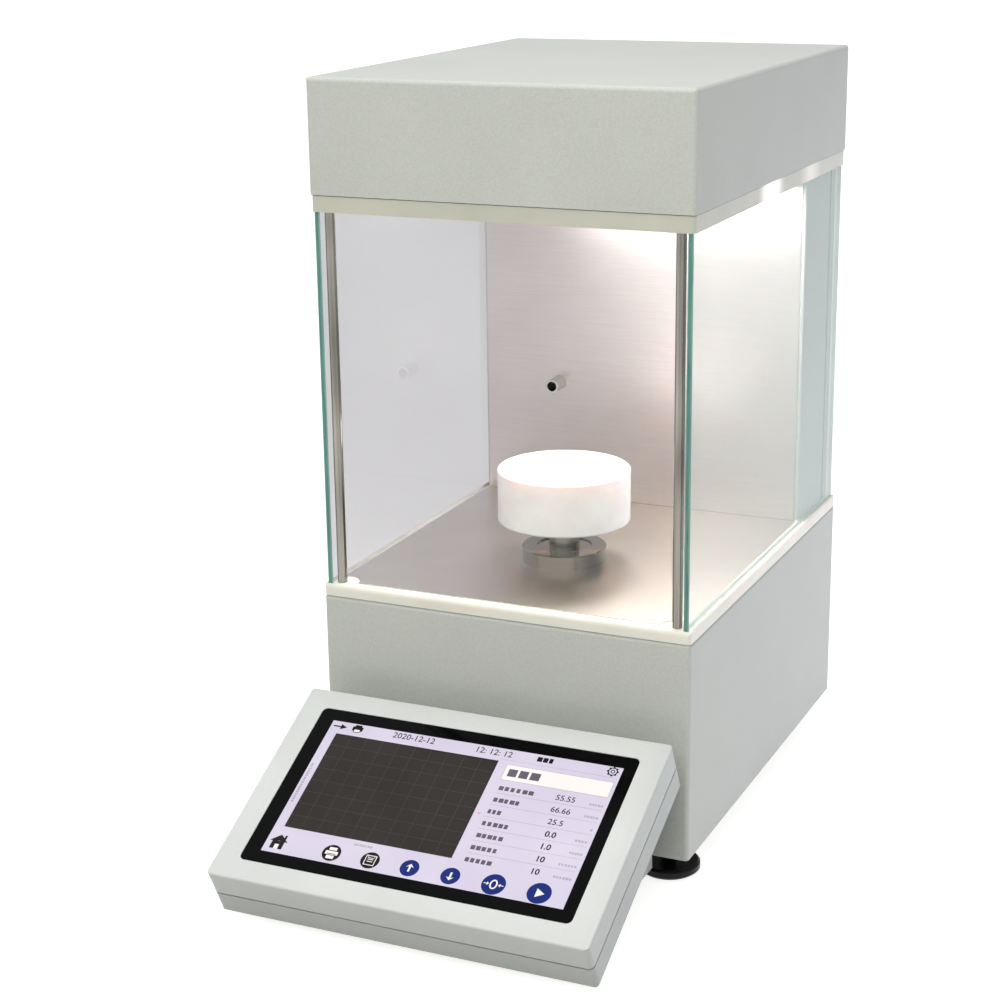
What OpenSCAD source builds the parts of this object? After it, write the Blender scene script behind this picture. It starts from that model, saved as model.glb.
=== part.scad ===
// Surface tensiometer: a base with a motor-driven stage, a chamber with sliding glass
// sides, a weighing head with a hook, and a tilted touch panel in front.
// Millimetres. The origin is on the table, under the middle of the whole footprint.
// +X is to the right, +Y to the rear, +Z up.

/* [Housings] */
// Width of the base and head housings
housing_w = 200; // [190:1:230]
// Depth of the housings, front to rear
housing_d = 253; // [246:1:290]
// Height of the base housing
base_h = 114; // [112:1:140]
// Height of the head housing
head_h = 57; // [52:1:80]
// Thickness of the sheet steel
sheet_t = 1.5; // [1:0.1:2]
// Outer radius of the bends
bend_r = 2.2; // [2.2:0.1:4]
// Gap between the top plate and the rim of the head housing
head_gap = 0.4; // [0.2:0.1:1]
// Gap between a tray and the housing round it
tray_gap = 0.2; // [0.1:0.1:0.5]
// Height of the flanges of the base pan and the head chassis
tray_h = 12; // [8:1:16]

/* [Chamber] */
// Clear height, floor to ceiling
chamber_h = 192; // [170:1:250]
// Clear depth, housing front to back panel
chamber_d = 192.5; // [185:0.5:200]
// Thickness of the opal base plate
base_plate_t = 6.6; // [6:0.1:10]
// Fillet of the base plate's front edge
plate_front_r = 3; // [1:0.1:4]
// Fillet of the base plate's side edges
plate_side_r = 1.2; // [0.5:0.1:1.3]
// Thickness of the opal top plate
top_plate_t = 8; // [7:0.1:12]
// Inset of the top plate from the housings
top_inset = 0.6; // [0.2:0.1:0.8]
// Thickness of the floor sheet
floor_t = 1; // [0.8:0.1:1.5]
// Depth of the pocket that the floor sheet lies in
floor_pocket = 0.6; // [0.3:0.1:0.7]
// Distance from the housing front to the floor sheet
floor_front = 4.8; // [4:0.1:12]
// Radius of the floor sheet's notch round each pillar
notch_r = 9; // [6:0.1:12]
// Thickness of the back panel
back_panel_t = 1; // [0.8:0.1:1.5]
// Diameter of the front pillars
pillar_d = 5; // [4:0.1:7]
// Distance from a housing side to the pillar's axis
pillar_side = 8.5; // [8.3:0.1:14]
// Distance from the housing front to the pillar's axis
pillar_front = 4.8; // [4:0.1:12]
// Depth of the pillars' seats in both plates
pillar_seat = 2; // [1:0.1:3]

/* [Sliding panes] */
// Thickness of the glass
pane_t = 2.8; // [2.5:0.1:3.2]
// Distance from a housing side to the outer face of the pane
pane_side = 1.6; // [1.5:0.1:1.9]
// Distance from the housing front to the pane
pane_front = 1.6; // [1:0.1:4]
// Distance from the pane to the housing rear
pane_rear = 2; // [1:0.5:20]
// Depth of the grooves in the base plate
groove_low = 2.5; // [1.5:0.1:4]
// Depth of the grooves in the top plate
groove_high = 3.5; // [2.5:0.1:5]
// Sideways play of a pane in its groove, each side
pane_play = 0.15; // [0.1:0.05:0.3]
// Gap under a pane in its groove
pane_lift = 0.2; // [0.1:0.05:0.4]
// Gap over a pane in its groove
pane_head = 0.5; // [0.3:0.1:1]
// Gap between a pane and the column beside it
pane_gap = 0.4; // [0.3:0.1:1]

/* [Column] */
// Width of the flanges round the column's windows
column_flange = 14; // [10:1:20]
// Depth of the rear cover's side returns
cover_return = 10; // [6:0.5:16]
// Seam between the column and its rear cover
cover_seam = 0.3; // [0.2:0.1:0.6]
// Slots in each row of the rear cover's vent
vent_count = 9; // [4:1:12]
// Width of a vent slot
vent_w = 3; // [2:0.1:3.5]
// Length of a vent slot
vent_l = 44; // [20:1:60]
// Width of the cable window through the plates
cable_w = 80; // [40:1:120]
// Depth of the cable window through the plates
cable_d = 20; // [10:1:28]
// Outer diameter of the probe tube
probe_d = 8; // [6.6:0.1:10]
// Bore of the probe tube
probe_bore = 5.6; // [3:0.1:6]
// Reach of the probe tube into the chamber
probe_reach = 12; // [5:0.5:20]
// Distance of the probe tube left of the middle
probe_left = 48; // [30:1:70]
// Height of the probe tube over the floor
probe_up = 68; // [40:1:120]

/* [Stage] */
// Distance from the housing front to the stage axis
stage_back = 83; // [75:0.5:95]
// Diameter of the stage disc
disc_d = 70; // [50:1:100]
// Height of the stage disc
disc_h = 28.4; // [15:0.1:40]
// Height of the disc over the floor with the stage at rest
disc_up = 22.1; // [20:0.1:30]
// Diameter of the stage stem
stem_d = 16; // [12:0.5:18]
// Diameter of the flange on the floor
flange_d = 45; // [40:0.5:60]
// Height of the flange over the floor sheet
flange_h = 7.7; // [5:0.1:9]
// Diameter of the recess in the flange's top
flange_recess_d = 29.4; // [24:0.1:34]
// Diameter of the flange's spigot
spigot_d = 26; // [22:0.5:28]

/* [Lift drive] */
// Travel of the stage above rest
lift_up = 35; // [20:1:37]
// Travel of the stage below rest
lift_down = 10; // [4:1:12]
// Thickness of the upper frame plate
upper_plate_t = 6; // [5:0.5:7]
// Thickness of the lower frame plate
lower_plate_t = 5; // [4:0.5:7]
// Width of the frame plates
frame_w = 80; // [78:1:90]
// Depth of the frame plates
frame_d = 72; // [72:1:80]
// Thickness of the carriage
carriage_t = 12; // [10:0.5:13.5]
// Diameter of the guide rods
rod_d = 8; // [6:0.5:9]
// Distance between the guide rods
rod_spread = 52; // [50:1:54]
// Diameter of the lead screw
lead_d = 8; // [6:0.5:9]
// Distance from the stage axis back to the lead screw
lead_back = 24; // [23:0.5:26]
// Width of the motor's square body
motor_w = 42.3; // [35:0.1:43]
// Height of the motor's body
motor_h = 34; // [28:0.5:36]

/* [Feet] */
// Height of the base over the table
foot_h = 15; // [14:0.5:25]
// Diameter of a front foot's disc
foot_d = 32; // [24:0.5:34]
// Thickness of a front foot's disc
foot_t = 4.6; // [3:0.1:5]
// Thickness of the rubber pad under a front foot
pad_t = 1; // [0.8:0.1:2]
// Diameter of a front foot's stud
stud_d = 8; // [6:0.5:10]
// Distance from a housing side to a front foot's axis
foot_side = 16.7; // [15:0.1:24]
// Distance from the housing front to a front foot's axis
foot_front = 19; // [18:0.5:30]
// Diameter of a rear foot
rear_foot_d = 22; // [16:0.5:28]
// Distance from a housing side to a rear foot's axis
rear_foot_side = 30; // [20:0.5:34]
// Distance from the housing rear to a rear foot's axis
rear_foot_rear = 25; // [20:0.5:28]

/* [Touch panel] */
// Width of the panel
panel_w = 197; // [188:1:220]
// Height of the panel along its face
panel_h = 123; // [120:1:132]
// Thickness of the panel
panel_t = 28; // [25:0.5:34]
// Tilt of the panel's face
panel_tilt = 26.5; // [22:0.5:32]
// Gap between the panel's rear edge and the housing
panel_gap = 6; // [3:0.5:15]
// Height of the panel's lower edge over the table
panel_up = 4.7; // [3:0.1:7]
// Height of the lower shell
lower_shell_h = 13; // [12:0.5:14]
// Seam between the two shells
shell_seam = 1; // [0.3:0.1:1.2]
// Wall of both shells
shell_wall = 2.5; // [2.2:0.1:3.5]
// Thickness of the upper shell's face
face_t = 4; // [3.6:0.1:5]
// Radius of the shells' upright corners
shell_r = 3; // [2:0.1:6]
// Fillet round the panel's face
face_r = 1; // [0.5:0.1:2.2]
// Width of the cover glass
glass_w = 172; // [168:0.5:176]
// Height of the cover glass
glass_h = 99.3; // [96:0.1:102]
// Thickness of the cover glass
glass_t = 1.8; // [1:0.1:2]
// Depth of the cover glass below the face
glass_sunk = 0.4; // [0:0.1:0.6]
// Width of the display's window
window_w = 157; // [150:0.5:160]
// Height of the display's window
window_h = 88; // [84:0.5:90]

/* [Panel bracket] */
// Thickness of the bracket's sheet
bracket_t = 2; // [1.5:0.1:3]
// Width of the bracket in front of the base
bracket_w = 163.4; // [140:0.2:170]
// Width of the bracket's tongue under the base
tongue_w = 120; // [80:1:126]
// Length of the tongue under the base
tongue_l = 70; // [40:1:74]
// Height of the bracket's side flanges
bracket_flange = 6.4; // [4:0.1:7.5]
// Length of the bracket along the panel's underside
bracket_arm = 72; // [50:1:85]

/* [Weighing head] */
// Length of the weigh cell
cell_l = 80; // [70:1:100]
// Width of the weigh cell
cell_w = 16; // [12:0.5:24]
// Height of the weigh cell
cell_h = 16; // [14:0.5:20]
// Height of the block under the weigh cell
cell_block_h = 10; // [8:0.5:14]
// Depth of the hook's lowest point below the ceiling
hook_drop = 11; // [8:0.5:20]
// Thickness of the hook's wire
hook_wire = 2.4; // [1.5:0.1:3]
// Radius of the hook's bow, to the middle of the wire
hook_bow = 3.5; // [2.5:0.1:4]
// Diameter of the hole for the hook in the top plate
hook_hole = 14; // [12:0.5:24]
// Diameter of the pin that carries the hook
hook_pin_d = 3; // [2:0.1:4]

/* [Rear connectors] */
// Width of the window in the housing's rear
rear_window_w = 150; // [140:1:170]
// Height of the window in the housing's rear
rear_window_h = 46; // [42:1:56]
// Height of the window's middle over the base's lower edge
rear_window_up = 60; // [54:1:64]
// Thickness of the inlet's flange
inlet_t = 4; // [2:0.1:5]
// Depth of the inlet's blades below its face
blade_sunk = 5; // [4.6:0.1:6]
// Radius of the rocker's ends
rocker_r = 8.6; // [7:0.1:9]
// Width of the rocker
rocker_w = 11; // [8:0.1:13]
// Swing of the rocker from off to on
rocker_swing = 20; // [10:1:24]
// Reach of the serial port's shell out of the connector plate
serial_proud = 3.5; // [2:0.1:4]

/* [Fits] */
// Radial clearance of running fits
slip = 0.05; // [0.03:0.01:0.1]
// Clearance of parts that are fixed in each other
seat = 0.05; // [0.02:0.01:0.1]
// Diameter of the cover screws
screw_d = 3; // [2.5:0.1:4]

/* [Hidden] */

$fn = 64;
// Overlap of a cut past the face that it opens
cut = 1;

paint = "#c3c9c2";
dark_paint = "#a9aea8";
opal = "#f4f3ec";
steel = "#b9b5b0";
bright_steel = "#d8d8d6";
dark_steel = "#4c5150";
brass = "#b89a4c";
rubber = "#1c1c1e";
clear_glass = [0.72, 0.88, 0.84, 0.35];
black_glass = "#0b0b0e";
cast_metal = "#9ea3a6";
tin = "#c7cbce";
socket_white = "#e9e7de";
board_green = "#2c6b46";
moulded = "#d6d9d6";
black_plastic = "#202224";

// Levels over the table
z_base = foot_h;
z_pan = z_base + sheet_t;
z_plate = z_base + base_h;
z_floor = z_plate + base_plate_t;
z_sheet = z_floor - floor_pocket + floor_t;
z_ceiling = z_floor + chamber_h;
z_chassis = z_ceiling + top_plate_t;
z_head = z_chassis + head_gap;

// Depths. The panel's lowest front edge and the connectors' reach set the middle.
panel_back = panel_gap + panel_h * cos(panel_tilt);
face_edge_back = face_r * cos(panel_tilt) - (panel_t - face_r) * sin(panel_tilt) - face_r;
reach_front = panel_back - face_edge_back;
rear_proud = max(inlet_t, serial_proud) - sheet_t;
y_front = (reach_front - housing_d - rear_proud) / 2;
y_mid = y_front + housing_d / 2;
y_rear = y_front + housing_d;
y_stage = y_front + stage_back;
y_wall = y_front + chamber_d;
y_column = y_wall + back_panel_t;
panel_y = y_front - panel_back;

// Sideways places
pane_out_x = housing_w / 2 - pane_side;
pane_in_x = pane_out_x - pane_t;
column_x = pane_in_x - pane_gap;
pillar_x = housing_w / 2 - pillar_side;
pillar_y = y_front + pillar_front;
floor_margin = 0.75;
floor_x = pane_in_x - pane_play - floor_margin;
foot_x = housing_w / 2 - foot_side;
foot_y = y_front + foot_front;
rear_foot_x = housing_w / 2 - rear_foot_side;
rear_foot_y = y_rear - rear_foot_rear;

// Screws through the base pan, and the hole that lets a front foot's stud through it
pan_bolt_d = 4;
pan_bolt_over = 6;
stud_hole = stud_d + 2;

// Front feet: the nuts on the pan, the stud, the disc's edge and the rubber pad
foot_nut_h = 10;
foot_nut_w = stud_d + 6;
foot_nut_flange_d = stud_d + 11;
foot_nut_flange_t = 2;
stud_over = 8;
stud_chamfer = 1;
foot_boss_d = foot_d / 3;
foot_boss_h = 1.5;
foot_chamfer = 1.2;
foot_edge = 0.6;
pad_d = foot_d - 3;
pad_draft = 1;

// Rear feet, narrower below, and their recess for the screw's head
rear_foot_draft = 3;
rear_recess_d = 9;
rear_nut_w = 8;
rear_nut_h = 3.2;

// Lift drive, stacked down from the housing's top wall
ring_nut_t = 4;
ring_nut_d = spigot_d + 10;
carriage_w = rod_spread + 20;
carriage_d = 52;
rod_back = lead_back / 2 - 1;
post_back = 45;
post_x = 32;
post_d = 7;
frame_back = 16;
frame_r = 3;
rod_seat = 3.5;
lift_margin = 1;
z_upper = z_plate - sheet_t - upper_plate_t;
z_ring = z_upper - ring_nut_t;
z_carriage = z_ring - lift_margin - lift_up - carriage_t;
z_lower = z_carriage - lift_down - lift_margin - lower_plate_t;
z_motor = z_lower - motor_h;
z_disc = z_floor + disc_up;
lead_y = y_stage + lead_back;
rod_y = y_stage + rod_back;
bush_d = rod_d + 7;
lead_nut_d = lead_d + 14;
lead_nut_flange = 3.5;
lead_nut_body = lead_d + 4;
pilot_d = 22;
pilot_h = 2;
journal_d = lead_d - 2;
bearing_d = journal_d + 6;
stem_spigot_d = stem_d - 4;
disc_spigot_d = stem_d - 6;
disc_spigot_h = 10;
lead_sunk = 20;

// Touch panel, in its own frame: y along the face, z out of the underside
seam_top = lower_shell_h + shell_seam;
lip_t = 1.2;
lip_gap = 0.1;
lip_h = 2.4;
z_shell_boss = seam_top + lip_h;
boss_d = 8;
boss_in = 9;
glass_corner = 3;
window_margin = 1;
display_w = window_w + 8;
display_h = window_h + 12;
display_t = 5.7;
board_post_h = 6;
panel_board_w = 104;
panel_board_h = 70;
arm_screw_x = 62;
arm_boss_d = 9;
arm_boss_h = 7;
panel_post_d = 6;
board_screw_in = 5;
head_recess = 4;
bolt_grip = 6;
arm_screw_start = 22;
arm_screw_end = 10;
tongue_screw_x = tongue_w / 2 - 12;
tongue_screw_front = 14;
tongue_screw_end = 12;

// Where the bracket's fold has its centre, and how far up the panel that is
fold_r = bracket_t + 1;
fold_z = z_base - bracket_t + fold_r;
arm_start = (fold_z - panel_up + fold_r * cos(panel_tilt)) / sin(panel_tilt);
fold_y = panel_y + arm_start * cos(panel_tilt) + fold_r * sin(panel_tilt);

// Head
z_cell = z_chassis + sheet_t + cell_block_h;
z_arm = z_cell + cell_h;
arm_t = 4;
arm_overlap = 20;
cell_gap = 14;
cell_front = y_stage + cell_gap;
cell_block_d = 24;
cell_block_side = 4;
eye_d = hook_pin_d + 5;
eye_w = 5;
lug_t = 3;
lug_gap = 0.2;
pin_below = 4;
z_pin = z_arm - eye_d / 2 - pin_below;
z_bow = z_ceiling - hook_drop + hook_bow + hook_wire / 2;
led_x = 77;
led_w = 10;
led_l = 120;
led_board_t = 1;
led_h = 1.6;
led_count = 12;
led_pocket = 3;
led_play = 1;

// Rear connectors
z_connectors = z_base + rear_window_up;
inlet_x = rear_window_w / 3;
rocker_x = inlet_x - 36;
usb_x = rocker_x - 30;
serial_x = usb_x - 32;
plate_overlap = 7;
inlet_flange_w = 50;
inlet_flange_h = 27;
inlet_body_w = 27;
inlet_body_h = 20;
inlet_depth = 16;
inlet_wall = 1.6;
rocker_depth = 12;
rocker_pivot = -2;
rocker_apex = 3.2;
rocker_pin_d = 2;
rocker_play_x = 0.4;
rocker_play_y = 0.6;
rocker_wall = 1;
rocker_body_w = rocker_w + rocker_play_x + 2 * rocker_wall;
rocker_body_h = 2 * rocker_r + rocker_play_y + 2 * rocker_wall;
usb_w = 12;
usb_h = 11;
usb_depth = 16;
usb_mouth = 9;
serial_body_w = 30.8;
serial_flange_h = 12.5;
serial_flange_t = 0.8;
serial_nut_x = 12.5;
serial_nut_w = 5;
port_gap = 0.2;

// Circuit boards
board_t = 1.6;
board_corner = 2;
standoff_w = 5.5;
standoff_in = 5;
standoff_h = 8;
supply_w = 50;
supply_d = 88;
supply_h = 28;
supply_post_h = 5;
supply_x = -33;
supply_rear = 76;
main_board_w = 80;
main_board_d = 72;
main_board_x = 52;
main_board_rear = 78;
amplifier_w = 64;
amplifier_d = 52;
amplifier_post_h = 6;
amplifier_x = -52;
amplifier_back = 40;

// ---- Shared shapes ----

// Rectangle with round corners, centred
module rrect(w, d, r) {
  square([w - 2 * r, d], center = true);
  square([w, d - 2 * r], center = true);
  for (sx = [-1, 1], sy = [-1, 1])
    translate([sx * (w / 2 - r), sy * (d / 2 - r)]) circle(r);
}

// What a fillet takes off a square corner at the origin, material towards -x and -y
module fillet_waste(r) {
  difference() {
    translate([-r, -r]) square(r + cut);
    translate([-r, -r]) circle(r);
  }
}

// Upright rectangle on y = 0, with fillets on its upper left and upper right corners
module topped(w, h, r_left, r_right) {
  difference() {
    translate([-w / 2, 0]) square([w, h]);
    translate([w / 2, h]) fillet_waste(r_right);
    translate([-w / 2, h]) mirror([1, 0]) fillet_waste(r_left);
  }
}

// Block on z = 0: upright corners r, side edges r_side, front edge r_front, rear edge r_rear
module soft_block(w, d, h, r, r_side, r_front, r_rear) {
  intersection() {
    linear_extrude(h) rrect(w, d, r);
    rotate([90, 0, 0]) linear_extrude(d + 2 * cut, center = true) topped(w, h, r_side, r_side);
    rotate([90, 0, 90]) linear_extrude(w + 2 * cut, center = true) topped(d, h, r_front, r_rear);
  }
}

// Folded box of sheet t, open below
module sheet_box(w, d, h, r, t) {
  r_in = r - t;
  difference() {
    soft_block(w, d, h, r, r, r, r);
    translate([0, 0, -cut])
      soft_block(w - 2 * t, d - 2 * t, h - t + cut, r_in, r_in, r_in, r_in);
  }
}

// Folded tray of sheet t, open above
module tray(w, d, h, r, t) {
  translate([0, 0, h]) mirror([0, 0, 1]) sheet_box(w, d, h, r, t);
}

// Box given by its middle in x and y and its lowest z
module slab(x, y, z, w, d, h) {
  translate([x - w / 2, y - d / 2, z]) cube([w, d, h]);
}

// Pan-head screw with a hexagon socket, head on z = 0, shank down
module pan_screw(d, length) {
  head_d = 1.9 * d;
  step = 0.3 * d;
  socket_w = 0.7 * d;
  socket_floor = 0.25 * d;
  difference() {
    union() {
      cylinder(d = head_d, h = step);
      translate([0, 0, step]) cylinder(d1 = head_d, d2 = head_d - 2 * step, h = step);
      translate([0, 0, -length]) cylinder(d = d, h = length);
    }
    translate([0, 0, socket_floor]) cylinder(d = socket_w, h = d, $fn = 6);
  }
}

// Children on the panel's own frame
module on_panel() {
  translate([0, panel_y, panel_up]) rotate([panel_tilt, 0, 0]) children();
}

// Children on the connector plate's outer face, z out to the rear, y up
module on_rear(x) {
  translate([x, y_rear - sheet_t, z_connectors]) rotate([90, 0, 180]) children();
}

// Cable window under and over the column
module cable_window(z, h) {
  slab(0, (y_column + y_rear - cover_return) / 2, z, cable_w, cable_d, h);
}

// ---- Base ----

module base_housing() {
  color(paint) difference() {
    translate([0, y_mid, z_base]) sheet_box(housing_w, housing_d, base_h, bend_r, sheet_t);
    translate([0, y_stage, z_plate - sheet_t - cut])
      cylinder(d = spigot_d + 2 * seat, h = sheet_t + 2 * cut);
    cable_window(z_plate - sheet_t - cut, sheet_t + 2 * cut);
    slab(0, y_rear, z_connectors - rear_window_h / 2, rear_window_w, 6 * sheet_t, rear_window_h);
    rear_screw_holes(z_base);
  }
}

// Places of the screws that hold a housing to the tray inside it, z out to the rear,
// with the housing's lower edge at z
module tray_screw_places(z) {
  for (x = [-0.42, -0.15, 0.15, 0.42] * housing_w)
    translate([x, y_rear, z + tray_h / 2 + 1]) rotate([-90, 0, 0]) children();
}

module rear_screw_holes(z) {
  through = 2 * sheet_t + tray_gap + cut;
  tray_screw_places(z) translate([0, 0, -through]) cylinder(d = screw_d + 2 * seat, h = through + cut);
}

module base_pan() {
  color(dark_paint) difference() {
    translate([0, y_mid, z_base])
      tray(housing_w - 2 * (sheet_t + tray_gap), housing_d - 2 * (sheet_t + tray_gap),
           tray_h, bend_r, sheet_t);
    for (side = [-1, 1]) {
      translate([side * foot_x, foot_y, z_base - cut])
        cylinder(d = stud_hole, h = sheet_t + 2 * cut);
      translate([side * rear_foot_x, rear_foot_y, z_base - cut])
        cylinder(d = pan_bolt_d + 2 * seat, h = sheet_t + 2 * cut);
      for (y = tongue_screw_y())
        translate([side * tongue_screw_x, y, z_base - cut])
          cylinder(d = pan_bolt_d + 2 * seat, h = sheet_t + 2 * cut);
    }
    rear_screw_holes(z_base);
  }
}

module foot_nuts() {
  color(bright_steel) for (side = [-1, 1])
    translate([side * foot_x, foot_y, z_pan]) difference() {
      union() {
        cylinder(d = foot_nut_flange_d, h = foot_nut_flange_t);
        cylinder(d = foot_nut_w, h = foot_nut_h, $fn = 6);
      }
      translate([0, 0, -cut]) cylinder(d = stud_d + 2 * slip, h = foot_nut_h + 2 * cut);
    }
}

module rear_feet() {
  color(rubber) for (side = [-1, 1])
    translate([side * rear_foot_x, rear_foot_y, 0]) difference() {
      cylinder(d1 = rear_foot_d - rear_foot_draft, d2 = rear_foot_d, h = z_base);
      translate([0, 0, -cut]) cylinder(d = rear_recess_d, h = foot_h / 2 + cut);
      cylinder(d = pan_bolt_d + 2 * seat, h = z_base + cut);
    }
}

module rear_foot_screws() {
  color(bright_steel) for (side = [-1, 1])
    translate([side * rear_foot_x, rear_foot_y, 0]) {
      translate([0, 0, foot_h / 2]) mirror([0, 0, 1])
        pan_screw(pan_bolt_d, foot_h / 2 + sheet_t + pan_bolt_over);
      translate([0, 0, z_pan]) difference() {
        cylinder(d = rear_nut_w, h = rear_nut_h, $fn = 6);
        translate([0, 0, -cut]) cylinder(d = pan_bolt_d, h = rear_nut_h + 2 * cut);
      }
    }
}

module foot_pad(side) {
  color(rubber) translate([side * foot_x, foot_y, 0]) {
    cylinder(d1 = pad_d - pad_draft, d2 = pad_d, h = pad_t);
    cylinder(d = foot_boss_d, h = pad_t + foot_boss_h);
  }
}

module foot_screw(side) {
  stud_top = z_pan + foot_nut_h + stud_over;
  color("#26282a") translate([side * foot_x, foot_y, 0]) rotate_extrude() polygon([
    [0, pad_t + foot_boss_h + slip],
    [foot_boss_d / 2 + slip, pad_t + foot_boss_h + slip],
    [foot_boss_d / 2 + slip, pad_t],
    [foot_d / 2 - foot_edge, pad_t],
    [foot_d / 2, pad_t + foot_edge],
    [foot_d / 2, pad_t + foot_t - foot_chamfer],
    [foot_d / 2 - foot_chamfer, pad_t + foot_t],
    [stud_d / 2, pad_t + foot_t],
    [stud_d / 2, stud_top - stud_chamfer],
    [stud_d / 2 - stud_chamfer, stud_top],
    [0, stud_top]
  ]);
}

module left_foot_pad() { foot_pad(-1); }
module left_foot_screw() { foot_screw(-1); }
module right_foot_pad() { foot_pad(1); }
module right_foot_screw() { foot_screw(1); }

// ---- Chamber ----

// Outline of the floor sheet, grown by g
module floor_outline(g) {
  corner = 1;
  rear_gap = 0.5;
  depth = chamber_d - floor_front - rear_gap;
  difference() {
    translate([0, y_front + floor_front + depth / 2]) rrect(2 * (floor_x + g), depth + 2 * g, corner);
    for (side = [-1, 1])
      translate([side * pillar_x, pillar_y]) circle(notch_r - g);
  }
}

// Groove of a pane, from z up by h
module pane_groove(side, z, h) {
  length = housing_d - pane_front + pane_play;
  translate([side * (pane_out_x - pane_t / 2), y_front + pane_front - pane_play, z])
    translate([-pane_t / 2 - pane_play, 0, 0])
      cube([pane_t + 2 * pane_play, length + cut, h]);
}

module base_plate() {
  rear_r = 1;
  pocket_gap = 0.1;
  color(opal) difference() {
    translate([0, y_mid, z_plate])
      soft_block(housing_w, housing_d, base_plate_t, bend_r, plate_side_r, plate_front_r, rear_r);
    translate([0, 0, z_floor - floor_pocket]) linear_extrude(floor_pocket + cut) floor_outline(pocket_gap);
    translate([0, y_stage, z_plate - cut])
      cylinder(d = spigot_d + 2 * seat, h = base_plate_t + 2 * cut);
    cable_window(z_plate - cut, base_plate_t + 2 * cut);
    for (side = [-1, 1]) {
      pane_groove(side, z_floor - groove_low, groove_low + cut);
      translate([side * pillar_x, pillar_y, z_floor - pillar_seat])
        cylinder(d = pillar_d + 2 * seat, h = pillar_seat + cut);
    }
  }
}

module floor_sheet() {
  color(steel) difference() {
    translate([0, 0, z_floor - floor_pocket]) linear_extrude(floor_t) floor_outline(0);
    translate([0, y_stage, z_floor - floor_pocket - cut])
      cylinder(d = spigot_d + 2 * seat, h = floor_t + 2 * cut);
  }
}

module pillar(side) {
  color(bright_steel) translate([side * pillar_x, pillar_y, z_floor - pillar_seat])
    cylinder(d = pillar_d, h = chamber_h + 2 * pillar_seat);
}

module left_pillar() { pillar(-1); }
module right_pillar() { pillar(1); }

module pane(side) {
  corner = 1.5;
  low = z_floor - groove_low + pane_lift;
  high = z_ceiling + groove_high - pane_head;
  length = housing_d - pane_front - pane_rear;
  color(clear_glass)
    translate([side * (pane_out_x - pane_t / 2), y_front + pane_front + length / 2, (low + high) / 2])
      rotate([90, 0, 90]) linear_extrude(pane_t, center = true) rrect(length, high - low, corner);
}

module left_pane() { pane(-1); }
module right_pane() { pane(1); }

module top_plate() {
  w = housing_w - 2 * top_inset;
  d = housing_d - 2 * top_inset;
  color(opal) difference() {
    translate([0, y_mid, z_ceiling]) linear_extrude(top_plate_t) rrect(w, d, bend_r);
    translate([0, y_stage, z_ceiling - cut]) cylinder(d = hook_hole, h = top_plate_t + 2 * cut);
    cable_window(z_ceiling - cut, top_plate_t + 2 * cut);
    for (side = [-1, 1]) {
      pane_groove(side, z_ceiling - cut, groove_high + cut);
      translate([side * pillar_x, pillar_y, z_ceiling - cut])
        cylinder(d = pillar_d + 2 * seat, h = pillar_seat + cut);
    }
    slab(led_x, y_front + chamber_d / 2, z_chassis - led_pocket,
         led_w + led_play, led_l + led_play, led_pocket + cut);
  }
}

module led_strip() {
  lamp_w = 3.5;
  lamp_l = 2.8;
  y = y_front + chamber_d / 2;
  color("#f0ead2") slab(led_x, y, z_chassis - led_board_t, led_w, led_l, led_board_t);
  color("#fff3c0") for (i = [0 : led_count - 1])
    slab(led_x, y + (i - (led_count - 1) / 2) * led_l / led_count,
         z_chassis - led_board_t - led_h, lamp_w, lamp_l, led_h);
}

// ---- Column ----

module column_shell() {
  depth = y_rear - cover_return - cover_seam - y_column;
  color(paint) difference() {
    translate([0, y_column + depth / 2, z_floor])
      linear_extrude(chamber_h) rrect(2 * column_x, depth, bend_r);
    translate([0, y_column + depth / 2, z_floor + sheet_t])
      linear_extrude(chamber_h - 2 * sheet_t)
        rrect(2 * (column_x - sheet_t), depth - 2 * sheet_t, bend_r - sheet_t);
    slab(0, y_column + depth / 2, z_floor + column_flange,
         2 * (column_x - column_flange), depth + 2 * cut, chamber_h - 2 * column_flange);
    slab(0, y_column + depth / 2, z_floor - cut,
         2 * (column_x - column_flange), cable_d, chamber_h + 2 * cut);
    cover_screw_places() translate([0, 0, -2 * cover_return])
      cylinder(d = screw_d + 2 * seat, h = 2 * cover_return + cut);
  }
}

module back_panel() {
  side_inset = 2;
  end_gap = 0.2;
  color(steel) difference() {
    slab(0, y_wall + back_panel_t / 2, z_sheet + end_gap,
         2 * (column_x - side_inset), back_panel_t, z_ceiling - z_sheet - 2 * end_gap);
    translate([-probe_left, y_wall - cut, z_floor + probe_up]) rotate([-90, 0, 0])
      cylinder(d = probe_d + 2 * seat, h = back_panel_t + 2 * cut);
  }
}

// Places of the rear cover's screws, z out to the rear
module cover_screw_places() {
  for (side = [-1, 1], row = [0.06, 0.5, 0.94])
    translate([side * (column_x - column_flange / 2), y_rear, z_floor + row * chamber_h])
      rotate([-90, 0, 0]) children();
}

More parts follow.
